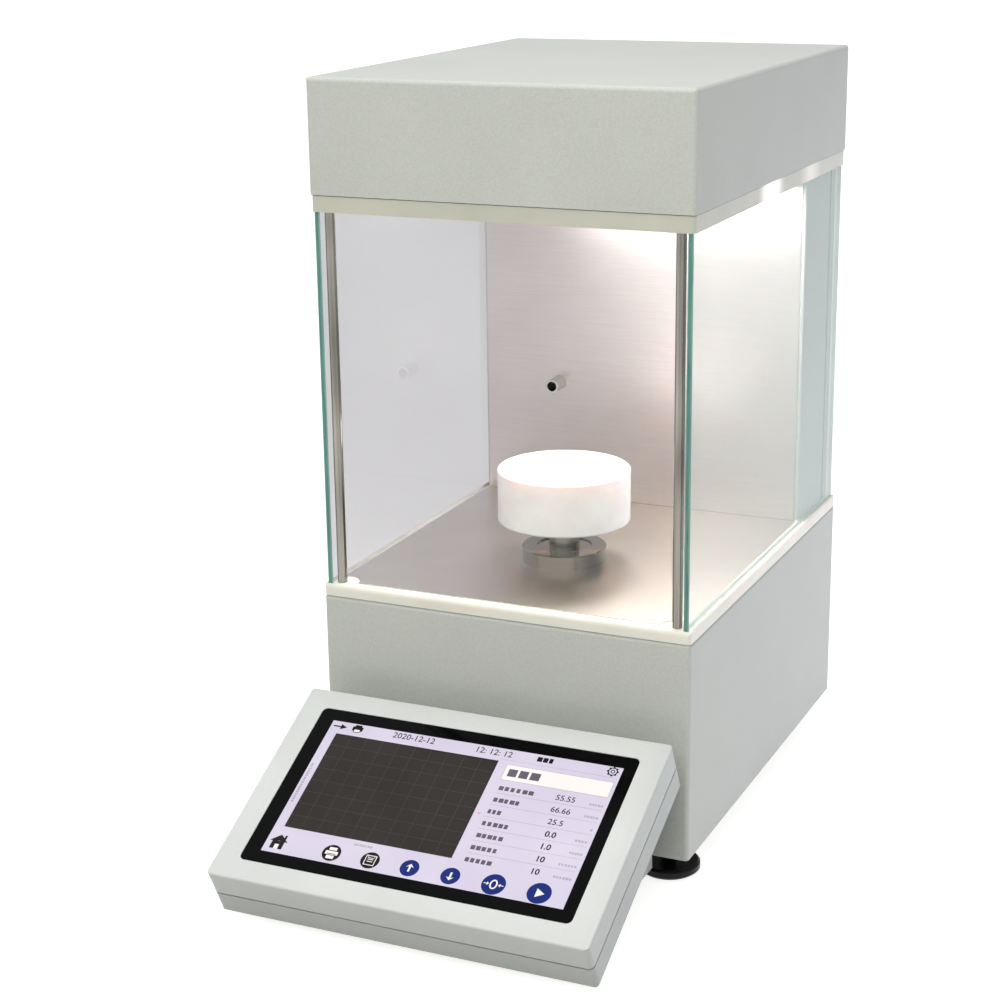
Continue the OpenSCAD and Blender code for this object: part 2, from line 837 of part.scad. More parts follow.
module rear_cover() {
  full = cover_return + 2 * bend_r;
  vent_middle = 12;
  vent_step = 2.4 * vent_w;
  color(paint) difference() {
    translate([0, y_rear - full / 2, z_floor])
      linear_extrude(chamber_h) rrect(2 * column_x, full, bend_r);
    translate([0, y_rear - full / 2 - cut, z_floor - cut])
      linear_extrude(chamber_h + 2 * cut)
        rrect(2 * (column_x - sheet_t), full - 2 * sheet_t + 2 * cut, bend_r - sheet_t);
    slab(0, y_rear - cover_return - full / 2, z_floor - cut,
         2 * column_x + 2 * cut, full, chamber_h + 2 * cut);
    for (side = [-1, 1], i = [0 : vent_count - 1])
      translate([side * (vent_l + vent_middle) / 2, y_rear - sheet_t - cut,
                 z_floor + chamber_h / 2 + (i - (vent_count - 1) / 2) * vent_step])
        rotate([-90, 0, 0]) linear_extrude(sheet_t + 2 * cut) rrect(vent_l, vent_w, 0.49 * vent_w);
    cover_screw_places() translate([0, 0, -sheet_t - cut])
      cylinder(d = screw_d + 2 * seat, h = sheet_t + 2 * cut);
  }
}

// Pan-head screws of the rear cover, the base housing and the head housing
module cover_screws() {
  over = 3;
  color(bright_steel) {
    cover_screw_places() pan_screw(screw_d, cover_return + cover_seam + sheet_t + over);
    for (z = [z_base, z_head])
      tray_screw_places(z) pan_screw(screw_d, 2 * sheet_t + tray_gap + over);
  }
}

module probe_tube() {
  tail = 14;
  color(bright_steel) translate([-probe_left, y_wall, z_floor + probe_up]) rotate([90, 0, 0])
    difference() {
      translate([0, 0, -tail]) cylinder(d = probe_d, h = probe_reach + tail);
      translate([0, 0, -tail - cut]) cylinder(d = probe_bore, h = probe_reach + tail + 2 * cut);
    }
}

module probe_nut() {
  washer_d = probe_d + 8;
  washer_t = 1;
  nut_w = probe_d + 5;
  nut_h = 5;
  color(brass) translate([-probe_left, y_column, z_floor + probe_up]) rotate([-90, 0, 0])
    difference() {
      union() {
        cylinder(d = washer_d, h = washer_t);
        cylinder(d = nut_w, h = nut_h, $fn = 6);
      }
      translate([0, 0, -cut]) cylinder(d = probe_d + 2 * seat, h = nut_h + 2 * cut);
    }
}

// ---- Stage and its lift ----

module stage_flange() {
  edge = 0.5;
  recess = 0.8;
  top = z_sheet + flange_h;
  bore = stem_d / 2 + slip;
  color(bright_steel) translate([0, y_stage, 0]) rotate_extrude() polygon([
    [bore, z_ring],
    [spigot_d / 2, z_ring],
    [spigot_d / 2, z_sheet],
    [flange_d / 2, z_sheet],
    [flange_d / 2, top - edge],
    [flange_d / 2 - edge, top],
    [flange_recess_d / 2, top],
    [flange_recess_d / 2, top - recess],
    [bore, top - recess]
  ]);
}

module flange_nut() {
  notch_w = 5;
  notch_d = 4;
  color(dark_steel) translate([0, y_stage, z_ring]) difference() {
    cylinder(d = ring_nut_d, h = ring_nut_t);
    translate([0, 0, -cut]) cylinder(d = spigot_d + 2 * seat, h = ring_nut_t + 2 * cut);
    for (turn = [0 : 90 : 270])
      rotate([0, 0, turn + 45]) translate([ring_nut_d / 2, 0, 0])
        slab(0, 0, -cut, notch_w, notch_d, ring_nut_t + 2 * cut);
  }
}

module stage_stem() {
  edge = 1;
  color(dark_steel) translate([0, y_stage, 0]) rotate_extrude() polygon([
    [0, z_carriage],
    [stem_spigot_d / 2, z_carriage],
    [stem_spigot_d / 2, z_carriage + carriage_t],
    [stem_d / 2, z_carriage + carriage_t],
    [stem_d / 2, z_disc],
    [disc_spigot_d / 2, z_disc],
    [disc_spigot_d / 2, z_disc + disc_spigot_h - edge],
    [disc_spigot_d / 2 - edge, z_disc + disc_spigot_h],
    [0, z_disc + disc_spigot_h]
  ]);
}

module stage_disc() {
  edge = 0.8;
  bore = disc_spigot_d / 2 + seat;
  color("#eceae2") translate([0, y_stage, 0]) rotate_extrude() polygon([
    [bore, z_disc],
    [disc_d / 2 - edge, z_disc],
    [disc_d / 2, z_disc + edge],
    [disc_d / 2, z_disc + disc_h - edge],
    [disc_d / 2 - edge, z_disc + disc_h],
    [0, z_disc + disc_h],
    [0, z_disc + disc_spigot_h],
    [bore, z_disc + disc_spigot_h]
  ]);
}

module lift_carriage() {
  corner = 4;
  color(cast_metal) difference() {
    translate([0, rod_y, z_carriage]) linear_extrude(carriage_t) rrect(carriage_w, carriage_d, corner);
    translate([0, y_stage, z_carriage - cut])
      cylinder(d = stem_spigot_d + 2 * seat, h = carriage_t + 2 * cut);
    translate([0, lead_y, z_carriage - cut]) {
      cylinder(d = lead_nut_body + 2 * seat, h = carriage_t + 2 * cut);
      cylinder(d = lead_nut_d + 2 * seat, h = lead_nut_flange + cut);
    }
    for (side = [-1, 1])
      translate([side * rod_spread / 2, rod_y, z_carriage - cut])
        cylinder(d = bush_d + 2 * seat, h = carriage_t + 2 * cut);
  }
}

module carriage_bushes() {
  color(brass) for (side = [-1, 1])
    translate([side * rod_spread / 2, rod_y, z_carriage]) difference() {
      cylinder(d = bush_d, h = carriage_t);
      translate([0, 0, -cut]) cylinder(d = rod_d + 2 * slip, h = carriage_t + 2 * cut);
    }
}

module lift_nut() {
  color(brass) translate([0, lead_y, z_carriage]) difference() {
    union() {
      cylinder(d = lead_nut_d, h = lead_nut_flange);
      cylinder(d = lead_nut_body, h = carriage_t);
    }
    translate([0, 0, -cut]) cylinder(d = lead_d + 2 * slip, h = carriage_t + 2 * cut);
  }
}

module lift_screw() {
  shoulder = z_upper - 0.5;
  top = z_upper + upper_plate_t - 1;
  color(bright_steel) translate([0, lead_y, 0]) rotate_extrude() polygon([
    [0, z_lower - lead_sunk],
    [lead_d / 2, z_lower - lead_sunk],
    [lead_d / 2, shoulder],
    [journal_d / 2, shoulder],
    [journal_d / 2, top],
    [0, top]
  ]);
}

module guide_rods() {
  bottom = z_lower + lower_plate_t - rod_seat;
  color(bright_steel) for (side = [-1, 1])
    translate([side * rod_spread / 2, rod_y, bottom]) cylinder(d = rod_d, h = z_upper + rod_seat - bottom);
}

module frame_posts() {
  bottom = z_lower + lower_plate_t;
  color(bright_steel) for (side = [-1, 1])
    translate([side * post_x, y_stage + post_back, bottom])
      cylinder(d = post_d, h = z_upper - bottom, $fn = 6);
}

module upper_plate() {
  color(cast_metal) difference() {
    translate([0, y_stage + frame_back, z_upper])
      linear_extrude(upper_plate_t) rrect(frame_w, frame_d, frame_r);
    translate([0, y_stage, z_upper - cut])
      cylinder(d = spigot_d + 2 * seat, h = upper_plate_t + 2 * cut);
    translate([0, lead_y, z_upper - cut])
      cylinder(d = bearing_d + 2 * seat, h = upper_plate_t + 2 * cut);
    for (side = [-1, 1])
      translate([side * rod_spread / 2, rod_y, z_upper - cut])
        cylinder(d = rod_d + 2 * seat, h = rod_seat + cut);
  }
}

module lower_plate() {
  color(cast_metal) difference() {
    translate([0, y_stage + frame_back, z_lower])
      linear_extrude(lower_plate_t) rrect(frame_w, frame_d, frame_r);
    translate([0, lead_y, z_lower - cut])
      cylinder(d = pilot_d + 2 * seat, h = lower_plate_t + 2 * cut);
    for (side = [-1, 1])
      translate([side * rod_spread / 2, rod_y, z_lower + lower_plate_t - rod_seat])
        cylinder(d = rod_d + 2 * seat, h = rod_seat + cut);
  }
}

module screw_bearing() {
  color(brass) translate([0, lead_y, z_upper]) difference() {
    cylinder(d = bearing_d, h = upper_plate_t);
    translate([0, 0, -cut]) cylinder(d = journal_d + 2 * slip, h = upper_plate_t + 2 * cut);
  }
}

module lift_motor() {
  corner = 4.5;
  end_gap = 1;
  groove = 1.6;
  groove_from = 0.3 * motor_h;
  groove_h = 0.4 * motor_h;
  color("#2b2d30") translate([0, lead_y, z_motor]) difference() {
    union() {
      linear_extrude(motor_h) rrect(motor_w, motor_w, corner);
      translate([0, 0, motor_h]) cylinder(d = pilot_d, h = pilot_h);
    }
    translate([0, 0, motor_h - lead_sunk - end_gap])
      cylinder(d = lead_d + 2 * slip, h = lead_sunk + pilot_h + end_gap + cut);
    for (side = [-1, 1])
      slab(side * motor_w / 2, 0, groove_from, groove, motor_w + cut, groove_h);
  }
}

// ---- Electronics in the base ----

// Board w by d on four standoffs, its middle at the origin. Children stand on it.
module board_on_posts(w, d, post_h) {
  color(board_green) translate([0, 0, post_h]) linear_extrude(board_t) rrect(w, d, board_corner);
  color(brass) for (sx = [-1, 1], sy = [-1, 1])
    translate([sx * (w / 2 - standoff_in), sy * (d / 2 - standoff_in), 0])
      cylinder(d = standoff_w, h = post_h, $fn = 6);
  translate([0, 0, post_h + board_t]) children();
}

// Round capacitors in a row along the direction of step
module capacitors(start, step, number, d, h) {
  color(black_plastic) for (i = [0 : number - 1]) translate(start + i * step) cylinder(d = d, h = h);
}

module power_supply() {
  sink_t = 2;
  coil_w = 26;
  coil_d = 24;
  plug_w = 30;
  plug_d = 8;
  translate([supply_x, y_rear - supply_rear, z_pan])
    board_on_posts(supply_w, supply_d, supply_post_h) {
      color(tin) slab(sink_t - supply_w / 2, 0, 0, sink_t, supply_d - 24, supply_h - 6);
      color("#d9b23a") slab(4, 8, 0, coil_w, coil_d, supply_h - 8);
      capacitors([-8, -28, 0], [20, 0, 0], 2, 15, supply_h - 7);
      color(black_plastic) slab(6, supply_d / 2 - 10, 0, plug_w, plug_d, 10);
    }
}

module main_board() {
  chip_w = 20;
  chip_h = 2;
  sink_w = chip_w - 2;
  sink_h = 8;
  plug_w = 18;
  plug_d = 6;
  plug_h = 9;
  plug_y = main_board_d / 2 - 7;
  translate([main_board_x, y_rear - main_board_rear, z_pan])
    board_on_posts(main_board_w, main_board_d, standoff_h) {
      translate([-8, 2, 0]) {
        color(black_plastic) slab(0, 0, 0, chip_w, chip_w, chip_h);
        color("#3c3f42") slab(0, 0, chip_h, sink_w, sink_w, sink_h);
      }
      color(socket_white) for (i = [-1 : 1]) slab(24 * i, plug_y, 0, plug_w, plug_d, plug_h);
      capacitors([26, -22, 0], [0, 11, 0], 4, 8, 12);
      color("#2a2a2c") slab(-28, -22, 0, 16, 10, 4);
    }
}

// ---- Rear connectors ----

// Outline of the mains inlet, its upper corners cut off
module inlet_outline(w, h) {
  corner = 4;
  polygon([
    [-w / 2, -h / 2], [w / 2, -h / 2], [w / 2, h / 2 - corner],
    [w / 2 - corner, h / 2], [corner - w / 2, h / 2], [-w / 2, h / 2 - corner]
  ]);
}

// Outline of the nine-way port, grown by g
module serial_outline(g) {
  wide = 8.5 + g;
  narrow = 7 + g;
  high = 4.2 + g;
  polygon([[-wide, high], [wide, high], [narrow, -high], [-narrow, -high]]);
}

module connector_plate() {
  corner = 3;
  gap = 2 * port_gap;
  t = sheet_t;
  color(dark_paint) on_rear(0) difference() {
    translate([0, 0, -t]) linear_extrude(t)
      rrect(rear_window_w + 2 * plate_overlap, rear_window_h + 2 * plate_overlap, corner);
    translate([0, 0, -t - cut]) linear_extrude(t + 2 * cut) {
      translate([-inlet_x, 0]) inlet_outline(inlet_body_w + gap, inlet_body_h + gap);
      translate([-rocker_x, 0]) square([rocker_body_w + port_gap, rocker_body_h + port_gap], center = true);
      translate([-usb_x, 0]) square([usb_w + gap, usb_h + gap], center = true);
      translate([-serial_x, 0]) serial_outline(port_gap);
      for (side = [-1, 1])
        translate([-serial_x + side * serial_nut_x, 0]) circle(d = serial_nut_w + port_gap);
    }
  }
}

module power_inlet() {
  flange_corner = 4;
  blade_t = 2;
  blade_w = 4;
  color(black_plastic) on_rear(inlet_x) {
    difference() {
      union() {
        linear_extrude(inlet_t) rrect(inlet_flange_w, inlet_flange_h, flange_corner);
        translate([0, 0, -inlet_depth]) linear_extrude(inlet_depth) inlet_outline(inlet_body_w, inlet_body_h);
      }
      translate([0, 0, inlet_wall - inlet_depth]) linear_extrude(inlet_depth + inlet_t)
        inlet_outline(inlet_body_w - 2 * inlet_wall, inlet_body_h - 2 * inlet_wall);
    }
    blade_h = inlet_t - blade_sunk + inlet_depth - inlet_wall;
    for (blade = [[-7, -2], [0, 2], [7, -2]])
      slab(blade[0], blade[1], inlet_wall - inlet_depth, blade_t, blade_w, blade_h);
  }
}

module rocker_frame() {
  rim = 5;
  rim_t = 2;
  rim_corner = 1.5;
  bottom_t = 1.2;
  color(black_plastic) on_rear(rocker_x) difference() {
    union() {
      linear_extrude(rim_t) rrect(rocker_w + rim, 2 * rocker_r + rim, rim_corner);
      translate([0, 0, -rocker_depth]) linear_extrude(rocker_depth)
        square([rocker_body_w, rocker_body_h], center = true);
    }
    translate([0, 0, bottom_t - rocker_depth]) linear_extrude(rocker_depth + rim_t)
      square([rocker_w + rocker_play_x, 2 * rocker_r + rocker_play_y], center = true);
    translate([0, 0, rocker_pivot]) rotate([0, 90, 0])
      cylinder(d = rocker_pin_d + 2 * slip, h = rocker_body_w + 2 * cut, center = true);
  }
}

// The rocker's V meets its ends on an arc round the pivot
module power_rocker() {
  skirt = 2;
  rise = rocker_r * tan(rocker_swing / 2);
  color("#17181a") on_rear(rocker_x) translate([0, 0, rocker_pivot])
    rotate([rocker_swing / 2, 0, 0]) rotate([90, 0, 90]) {
      linear_extrude(rocker_w, center = true) intersection() {
        circle(rocker_r);
        polygon([
          [-rocker_r, -skirt], [rocker_r, -skirt], [rocker_r, rocker_apex + rise],
          [0, rocker_apex], [-rocker_r, rocker_apex + rise]
        ]);
      }
      cylinder(d = rocker_pin_d, h = rocker_body_w - port_gap, center = true);
    }
}

module serial_port() {
  corner = 1.5;
  pin_d = 1;
  pin_depth = 2;
  pin_step = 2.75;
  row_y = 1.4;
  body = [19, 10, 8];
  back = -sheet_t - serial_flange_t;
  on_rear(serial_x) {
    color(bright_steel) difference() {
      union() {
        translate([0, 0, back]) linear_extrude(serial_flange_t) rrect(serial_body_w, serial_flange_h, corner);
        translate([0, 0, back]) linear_extrude(serial_proud - back) serial_outline(0);
      }
      for (row = [[row_y, 5], [-row_y, 4]], i = [0 : row[1] - 1])
        translate([(i - (row[1] - 1) / 2) * pin_step, row[0], serial_proud - pin_depth])
          cylinder(d = pin_d, h = pin_depth + cut, $fn = 16);
    }
    color(bright_steel) for (side = [-1, 1])
      translate([side * serial_nut_x, 0, -sheet_t])
        cylinder(d = serial_nut_w, h = serial_proud + sheet_t, $fn = 6);
    color(black_plastic) slab(0, 0, back - body[2], body[0], body[1], body[2]);
  }
}

module usb_port() {
  proud = 0.8;
  mouth_w = 8.5;
  mouth_h = 7.8;
  tongue = [5.6, 3.2, 8];
  color(bright_steel) on_rear(usb_x) {
    difference() {
      slab(0, 0, -usb_depth, usb_w, usb_h, usb_depth + proud);
      slab(0, 0, -usb_mouth, mouth_w, mouth_h, usb_mouth + proud + cut);
    }
    slab(0, 0, -usb_mouth, tongue[0], tongue[1], tongue[2]);
  }
}

// ---- Weighing head ----

module head_chassis() {
  color(dark_paint) difference() {
    translate([0, y_mid, z_chassis])
      tray(housing_w - 2 * (sheet_t + tray_gap), housing_d - 2 * (sheet_t + tray_gap),
           tray_h, bend_r, sheet_t);
    translate([0, y_stage, z_chassis - cut]) cylinder(d = hook_hole, h = sheet_t + 2 * cut);
    cable_window(z_chassis - cut, sheet_t + 2 * cut);
    rear_screw_holes(z_head);
  }
}

module head_housing() {
  color(paint) difference() {
    translate([0, y_mid, z_head]) sheet_box(housing_w, housing_d, head_h, bend_r, sheet_t);
    rear_screw_holes(z_head);
  }
}

module cell_block() {
  color("#a8adb0") slab(0, cell_front + cell_l - cell_block_d / 2, z_chassis + sheet_t,
                        cell_w + 2 * cell_block_side, cell_block_d, cell_block_h);
}

// Bending beam: two round eyes joined by a slot thin the beam where it flexes
module weigh_cell() {
  eye = 0.72 * cell_h;
  spread = 0.36 * cell_l;
  slot_h = 3;
  color("#c9cdcf") translate([0, cell_front + cell_l / 2, z_cell + cell_h / 2]) difference() {
    slab(0, 0, -cell_h / 2, cell_w, cell_l, cell_h);
    rotate([0, 90, 0]) {
      for (side = [-1, 1])
        translate([0, side * spread / 2, 0]) cylinder(d = eye, h = cell_w + 2 * cut, center = true);
      slab(0, 0, -cell_w / 2 - cut, slot_h, spread, cell_w + 2 * cut);
    }
  }
}

module hanger_arm() {
  lug_x = eye_w / 2 + lug_gap + lug_t / 2;
  arm_front = y_stage - eye_d / 2;
  arm_l = cell_front + arm_overlap - arm_front;
  color("#b3b8bb") {
    difference() {
      union() {
        slab(0, arm_front + arm_l / 2, z_arm, cell_w, arm_l, arm_t);
        for (side = [-1, 1])
          slab(side * lug_x, y_stage, z_pin - eye_d / 2, lug_t, eye_d, z_arm - z_pin + eye_d / 2);
      }
      translate([0, y_stage, z_pin]) rotate([0, 90, 0])
        cylinder(d = hook_pin_d, h = 4 * cell_w, center = true);
    }
    translate([0, y_stage, z_pin]) rotate([0, 90, 0])
      cylinder(d = hook_pin_d, h = 2 * (lug_x + lug_t / 2), center = true);
  }
}

module weighing_hook() {
  wrap = 215;
  color(bright_steel) translate([0, y_stage, 0]) difference() {
    union() {
      translate([0, 0, z_pin]) rotate([0, 90, 0]) cylinder(d = eye_d, h = eye_w, center = true);
      translate([0, 0, z_bow]) cylinder(d = hook_wire, h = z_pin - z_bow);
      translate([0, hook_bow, z_bow]) rotate([90, 0, 90]) rotate([0, 0, 180])
        rotate_extrude(angle = wrap) translate([hook_bow, 0]) circle(d = hook_wire);
    }
    translate([0, 0, z_pin]) rotate([0, 90, 0])
      cylinder(d = hook_pin_d + 2 * slip, h = eye_w + 2 * cut, center = true);
  }
}

module amplifier_board() {
  can = [30, 26, 9];
  chip = [12, 12, 2.5];
  plug = [20, 6, 8];
  translate([amplifier_x, y_stage + amplifier_back, z_chassis + sheet_t])
    board_on_posts(amplifier_w, amplifier_d, amplifier_post_h) {
      color(tin) slab(-8, 4, 0, can[0], can[1], can[2]);
      color(black_plastic) slab(20, -14, 0, chip[0], chip[1], chip[2]);
      color(socket_white) slab(16, 20, 0, plug[0], plug[1], plug[2]);
    }
}

// ---- Touch panel ----

// Corner screws of the shells, boss axes
module shell_boss_places() {
  for (side = [-1, 1], y = [boss_in, panel_h - boss_in])
    translate([side * (panel_w / 2 - boss_in), y, 0]) children();
}

// Places of the bracket's screws: along the tongue, and along the arm in the panel's frame
function tongue_screw_y() = [y_front + tongue_screw_front, y_front + tongue_l - tongue_screw_end];
function arm_screw_y() = [arm_start + arm_screw_start, arm_start + bracket_arm - arm_screw_end];

// Outline of the hollow in both shells, centred
module shell_hollow() {
  rrect(panel_w - 2 * shell_wall, panel_h - 2 * shell_wall, shell_r - shell_wall + 0.3);
}

module panel_lower_shell() {
  lip_in = shell_wall - lip_t + lip_gap;
  mid = panel_h / 2;
  edge_r = 0.8;
  color(moulded) on_panel() difference() {
    union() {
      difference() {
        union() {
          translate([0, mid, lower_shell_h]) mirror([0, 0, 1])
            soft_block(panel_w, panel_h, lower_shell_h, shell_r, edge_r, edge_r, edge_r);
          translate([0, mid, shell_wall])
            linear_extrude(z_shell_boss - shell_wall)
              rrect(panel_w - 2 * lip_in, panel_h - 2 * lip_in, shell_r - lip_in);
        }
        translate([0, mid, shell_wall]) linear_extrude(panel_t) shell_hollow();
      }
      shell_boss_places() cylinder(d = boss_d, h = z_shell_boss);
      for (side = [-1, 1], y = arm_screw_y())
        translate([side * arm_screw_x, y, shell_wall / 2]) cylinder(d = arm_boss_d, h = arm_boss_h);
      for (sx = [-1, 1], sy = [-1, 1])
        translate([sx * (panel_board_w / 2 - board_screw_in),
                   mid + sy * (panel_board_h / 2 - board_screw_in), shell_wall / 2])
          cylinder(d = panel_post_d, h = board_post_h + shell_wall / 2);
    }
    shell_boss_places() translate([0, 0, -cut]) {
      cylinder(d = screw_d + 2 * seat, h = panel_t);
      cylinder(d = 2.2 * screw_d, h = head_recess + cut);
    }
    for (side = [-1, 1], y = arm_screw_y())
      translate([side * arm_screw_x, y, -cut]) cylinder(d = screw_d + 2 * seat, h = bolt_grip + cut);
  }
}

module panel_upper_shell() {
  lip_in = shell_wall - lip_t;
  mid = panel_h / 2;
  under = panel_t - face_t;
  color(moulded) on_panel() difference() {
    union() {
      difference() {
        translate([0, mid, seam_top])
          soft_block(panel_w, panel_h, panel_t - seam_top, shell_r, face_r, face_r, face_r);
        translate([0, mid, seam_top - cut]) linear_extrude(under - seam_top + cut) shell_hollow();
        translate([0, mid, seam_top - cut]) linear_extrude(lip_h + cut)
          rrect(panel_w - 2 * lip_in, panel_h - 2 * lip_in, shell_r - lip_in);
      }
      shell_boss_places() translate([0, 0, z_shell_boss])
        cylinder(d = boss_d, h = under - z_shell_boss + face_t / 4);
    }
    translate([0, mid, panel_t - glass_t - glass_sunk]) linear_extrude(panel_t)
      rrect(glass_w + 2 * seat, glass_h + 2 * seat, glass_corner);
    translate([0, mid, 0]) linear_extrude(panel_t)
      rrect(window_w + 2 * window_margin, window_h + 2 * window_margin, window_margin);
    shell_boss_places() translate([0, 0, z_shell_boss - cut]) cylinder(d = screw_d, h = bolt_grip + cut);
  }
}

module touch_glass() {
  color(black_glass) on_panel() translate([0, panel_h / 2, panel_t - glass_t - glass_sunk])
    linear_extrude(glass_t) rrect(glass_w, glass_h, glass_corner);
}

module display_module() {
  color("#b9bdc0") on_panel() translate([0, panel_h / 2, panel_t - face_t - display_t])
    linear_extrude(display_t) rrect(display_w, display_h, window_margin);
}

module panel_board() {
  chip = [18, 18, 1.8];
  can = [22, 14, 3];
  plug = [26, 5, 4];
  on_panel() translate([0, panel_h / 2, shell_wall + board_post_h]) {
    color(board_green) linear_extrude(board_t) rrect(panel_board_w, panel_board_h, board_corner);
    color(black_plastic) slab(-10, 6, board_t, chip[0], chip[1], chip[2]);
    color(tin) slab(30, -10, board_t, can[0], can[1], can[2]);
    color(socket_white) slab(-30, 28, board_t, plug[0], plug[1], plug[2]);
  }
}

// Sheet folded back on itself: a leg under the base, an arm up the panel's underside
module bracket_profile() {
  leg_end = y_front + tongue_l;
  translate([fold_y, z_base - bracket_t]) square([leg_end - fold_y, bracket_t]);
  translate([panel_y, panel_up]) rotate(panel_tilt)
    translate([arm_start, -bracket_t]) square([bracket_arm, bracket_t]);
  translate([fold_y, fold_z]) intersection() {
    difference() {
      circle(fold_r);
      circle(fold_r - bracket_t);
    }
    polygon([
      [0, 0], [0, -2 * fold_r], [-3 * fold_r, -2 * fold_r], [-3 * fold_r, 2 * fold_r],
      [-2 * fold_r * sin(panel_tilt), 2 * fold_r * cos(panel_tilt)]
    ]);
  }
}

module panel_bracket() {
  front_gap = 1;
  color(dark_paint) difference() {
    union() {
      rotate([90, 0, 90]) linear_extrude(bracket_w, center = true) bracket_profile();
      for (side = [-1, 1])
        translate([side * (bracket_w - bracket_t) / 2, 0, 0])
          slab(0, (fold_y + y_front - front_gap) / 2, z_base - bracket_flange,
               bracket_t, y_front - front_gap - fold_y, bracket_flange);
    }
    for (side = [-1, 1]) {
      slab(side * (tongue_w + bracket_w) / 2, y_front - front_gap + tongue_l, z_base - bracket_flange - cut,
           bracket_w, 2 * tongue_l, bracket_flange + 2 * cut);
      for (y = tongue_screw_y())
        translate([side * tongue_screw_x, y, z_base - bracket_t - cut])
          cylinder(d = pan_bolt_d + 2 * seat, h = bracket_t + 2 * cut);
      for (y = arm_screw_y())
        translate([0, panel_y, panel_up]) rotate([panel_tilt, 0, 0])
          translate([side * arm_screw_x, y, -bracket_t - cut])
            cylinder(d = screw_d + 2 * seat, h = bracket_t + 2 * cut);
    }
  }
}

// Screws of the shells, of the bracket's arm and of its tongue
module panel_screws() {
  over = 5;
  color(bright_steel) {
    on_panel() {
      shell_boss_places() translate([0, 0, head_recess]) mirror([0, 0, 1]) pan_screw(screw_d, z_shell_boss);
      for (side = [-1, 1], y = arm_screw_y())
        translate([side * arm_screw_x, y, -bracket_t]) mirror([0, 0, 1]) pan_screw(screw_d, bracket_t + over);
    }
    for (side = [-1, 1], y = tongue_screw_y())
      translate([side * tongue_screw_x, y, z_base - bracket_t]) mirror([0, 0, 1])
        pan_screw(pan_bolt_d, bracket_t + sheet_t + over);
  }
}

base_housing();
base_pan();
foot_nuts();
rear_feet();
rear_foot_screws();
left_foot_pad();
left_foot_screw();
right_foot_pad();
right_foot_screw();
base_plate();
floor_sheet();
left_pillar();
right_pillar();
left_pane();
right_pane();
column_shell();
back_panel();
rear_cover();
cover_screws();
probe_tube();
probe_nut();
top_plate();
led_strip();
stage_flange();
flange_nut();
stage_stem();
stage_disc();
lift_carriage();
carriage_bushes();
lift_nut();
lift_screw();
guide_rods();
frame_posts();
upper_plate();
lower_plate();
screw_bearing();
lift_motor();
power_supply();
main_board();
connector_plate();
power_inlet();
rocker_frame();
power_rocker();
serial_port();
usb_port();
head_chassis();
head_housing();
cell_block();
weigh_cell();
hanger_arm();
weighing_hook();
amplifier_board();
panel_lower_shell();
panel_upper_shell();
touch_glass();
display_module();
panel_board();
panel_bracket();
panel_screws();
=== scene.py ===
import math

import bpy
import numpy as np
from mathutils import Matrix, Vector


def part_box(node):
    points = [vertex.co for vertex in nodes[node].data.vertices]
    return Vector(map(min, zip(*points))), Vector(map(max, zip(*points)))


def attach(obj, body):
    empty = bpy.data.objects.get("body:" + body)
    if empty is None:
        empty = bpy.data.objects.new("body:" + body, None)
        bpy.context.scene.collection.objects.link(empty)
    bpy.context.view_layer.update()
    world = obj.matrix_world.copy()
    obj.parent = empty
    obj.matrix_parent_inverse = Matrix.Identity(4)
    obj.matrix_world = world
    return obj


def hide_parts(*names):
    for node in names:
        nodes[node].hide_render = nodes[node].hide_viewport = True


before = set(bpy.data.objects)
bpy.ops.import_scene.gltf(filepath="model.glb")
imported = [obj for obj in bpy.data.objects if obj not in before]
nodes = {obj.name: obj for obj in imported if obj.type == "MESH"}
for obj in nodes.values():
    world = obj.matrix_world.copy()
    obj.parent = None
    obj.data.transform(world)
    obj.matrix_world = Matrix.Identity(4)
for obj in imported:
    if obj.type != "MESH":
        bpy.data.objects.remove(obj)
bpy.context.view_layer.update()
scene = bpy.context.scene
print("frame loaded:", len(nodes), "nodes")


# one sRGB channel to linear: divided by 12.92 near black, else a 2.4 power
def linearColour(hexText):
    srgb = np.array([int(hexText[i:i + 2], 16) for i in (1, 3, 5)]) / 255.0
    linear = np.where(srgb <= 0.04045, srgb / 12.92, ((srgb + 0.055) / 1.055) ** 2.4)
    return (*linear.tolist(), 1.0)


# adds one node: own settings by name, values for its sockets, links as socket: source
def addNode(tree, kind, values={}, links={}, **settings):
    node = tree.nodes.new(kind)
    for key, value in settings.items():
        setattr(node, key, value)
    for key, value in values.items():
        node.inputs[key].default_value = value
    for key, source in links.items():
        tree.links.new(source, node.inputs[key])
    return node


# an empty material with its tree and its Object coordinates
def startMaterial(name):
    material = bpy.data.materials.new(name)
    material.use_nodes = True
    tree = material.node_tree
    tree.nodes.clear()
    place = addNode(tree, "ShaderNodeTexCoord").outputs["Object"]
    return material, tree, place


# the finished shader goes to the material's output
def endMaterial(material, shader):
    addNode(material.node_tree, "ShaderNodeOutputMaterial",
            links={"Surface": shader.outputs[0]})
    return material


# a noise pattern with its grain in millimetres, one size or one for each axis
def grain(tree, place, sizes, detail=2.0, rough=0.5):
    scale = (1000.0 / np.broadcast_to(sizes, 3)).tolist()
    spread = addNode(tree, "ShaderNodeMapping", {"Scale": scale}, {"Vector": place})
    return addNode(tree, "ShaderNodeTexNoise",
                   {"Scale": 1.0, "Detail": detail, "Roughness": rough},
                   {"Vector": spread.outputs["Vector"]}).outputs["Fac"]


# a pattern's 0.3-0.7 span spread over low-high
def spreadOver(tree, pattern, low, high):
    return addNode(tree, "ShaderNodeMapRange",
                   {"From Min": 0.3, "From Max": 0.7, "To Min": low, "To Max": high},
                   {"Value": pattern}).outputs["Result"]


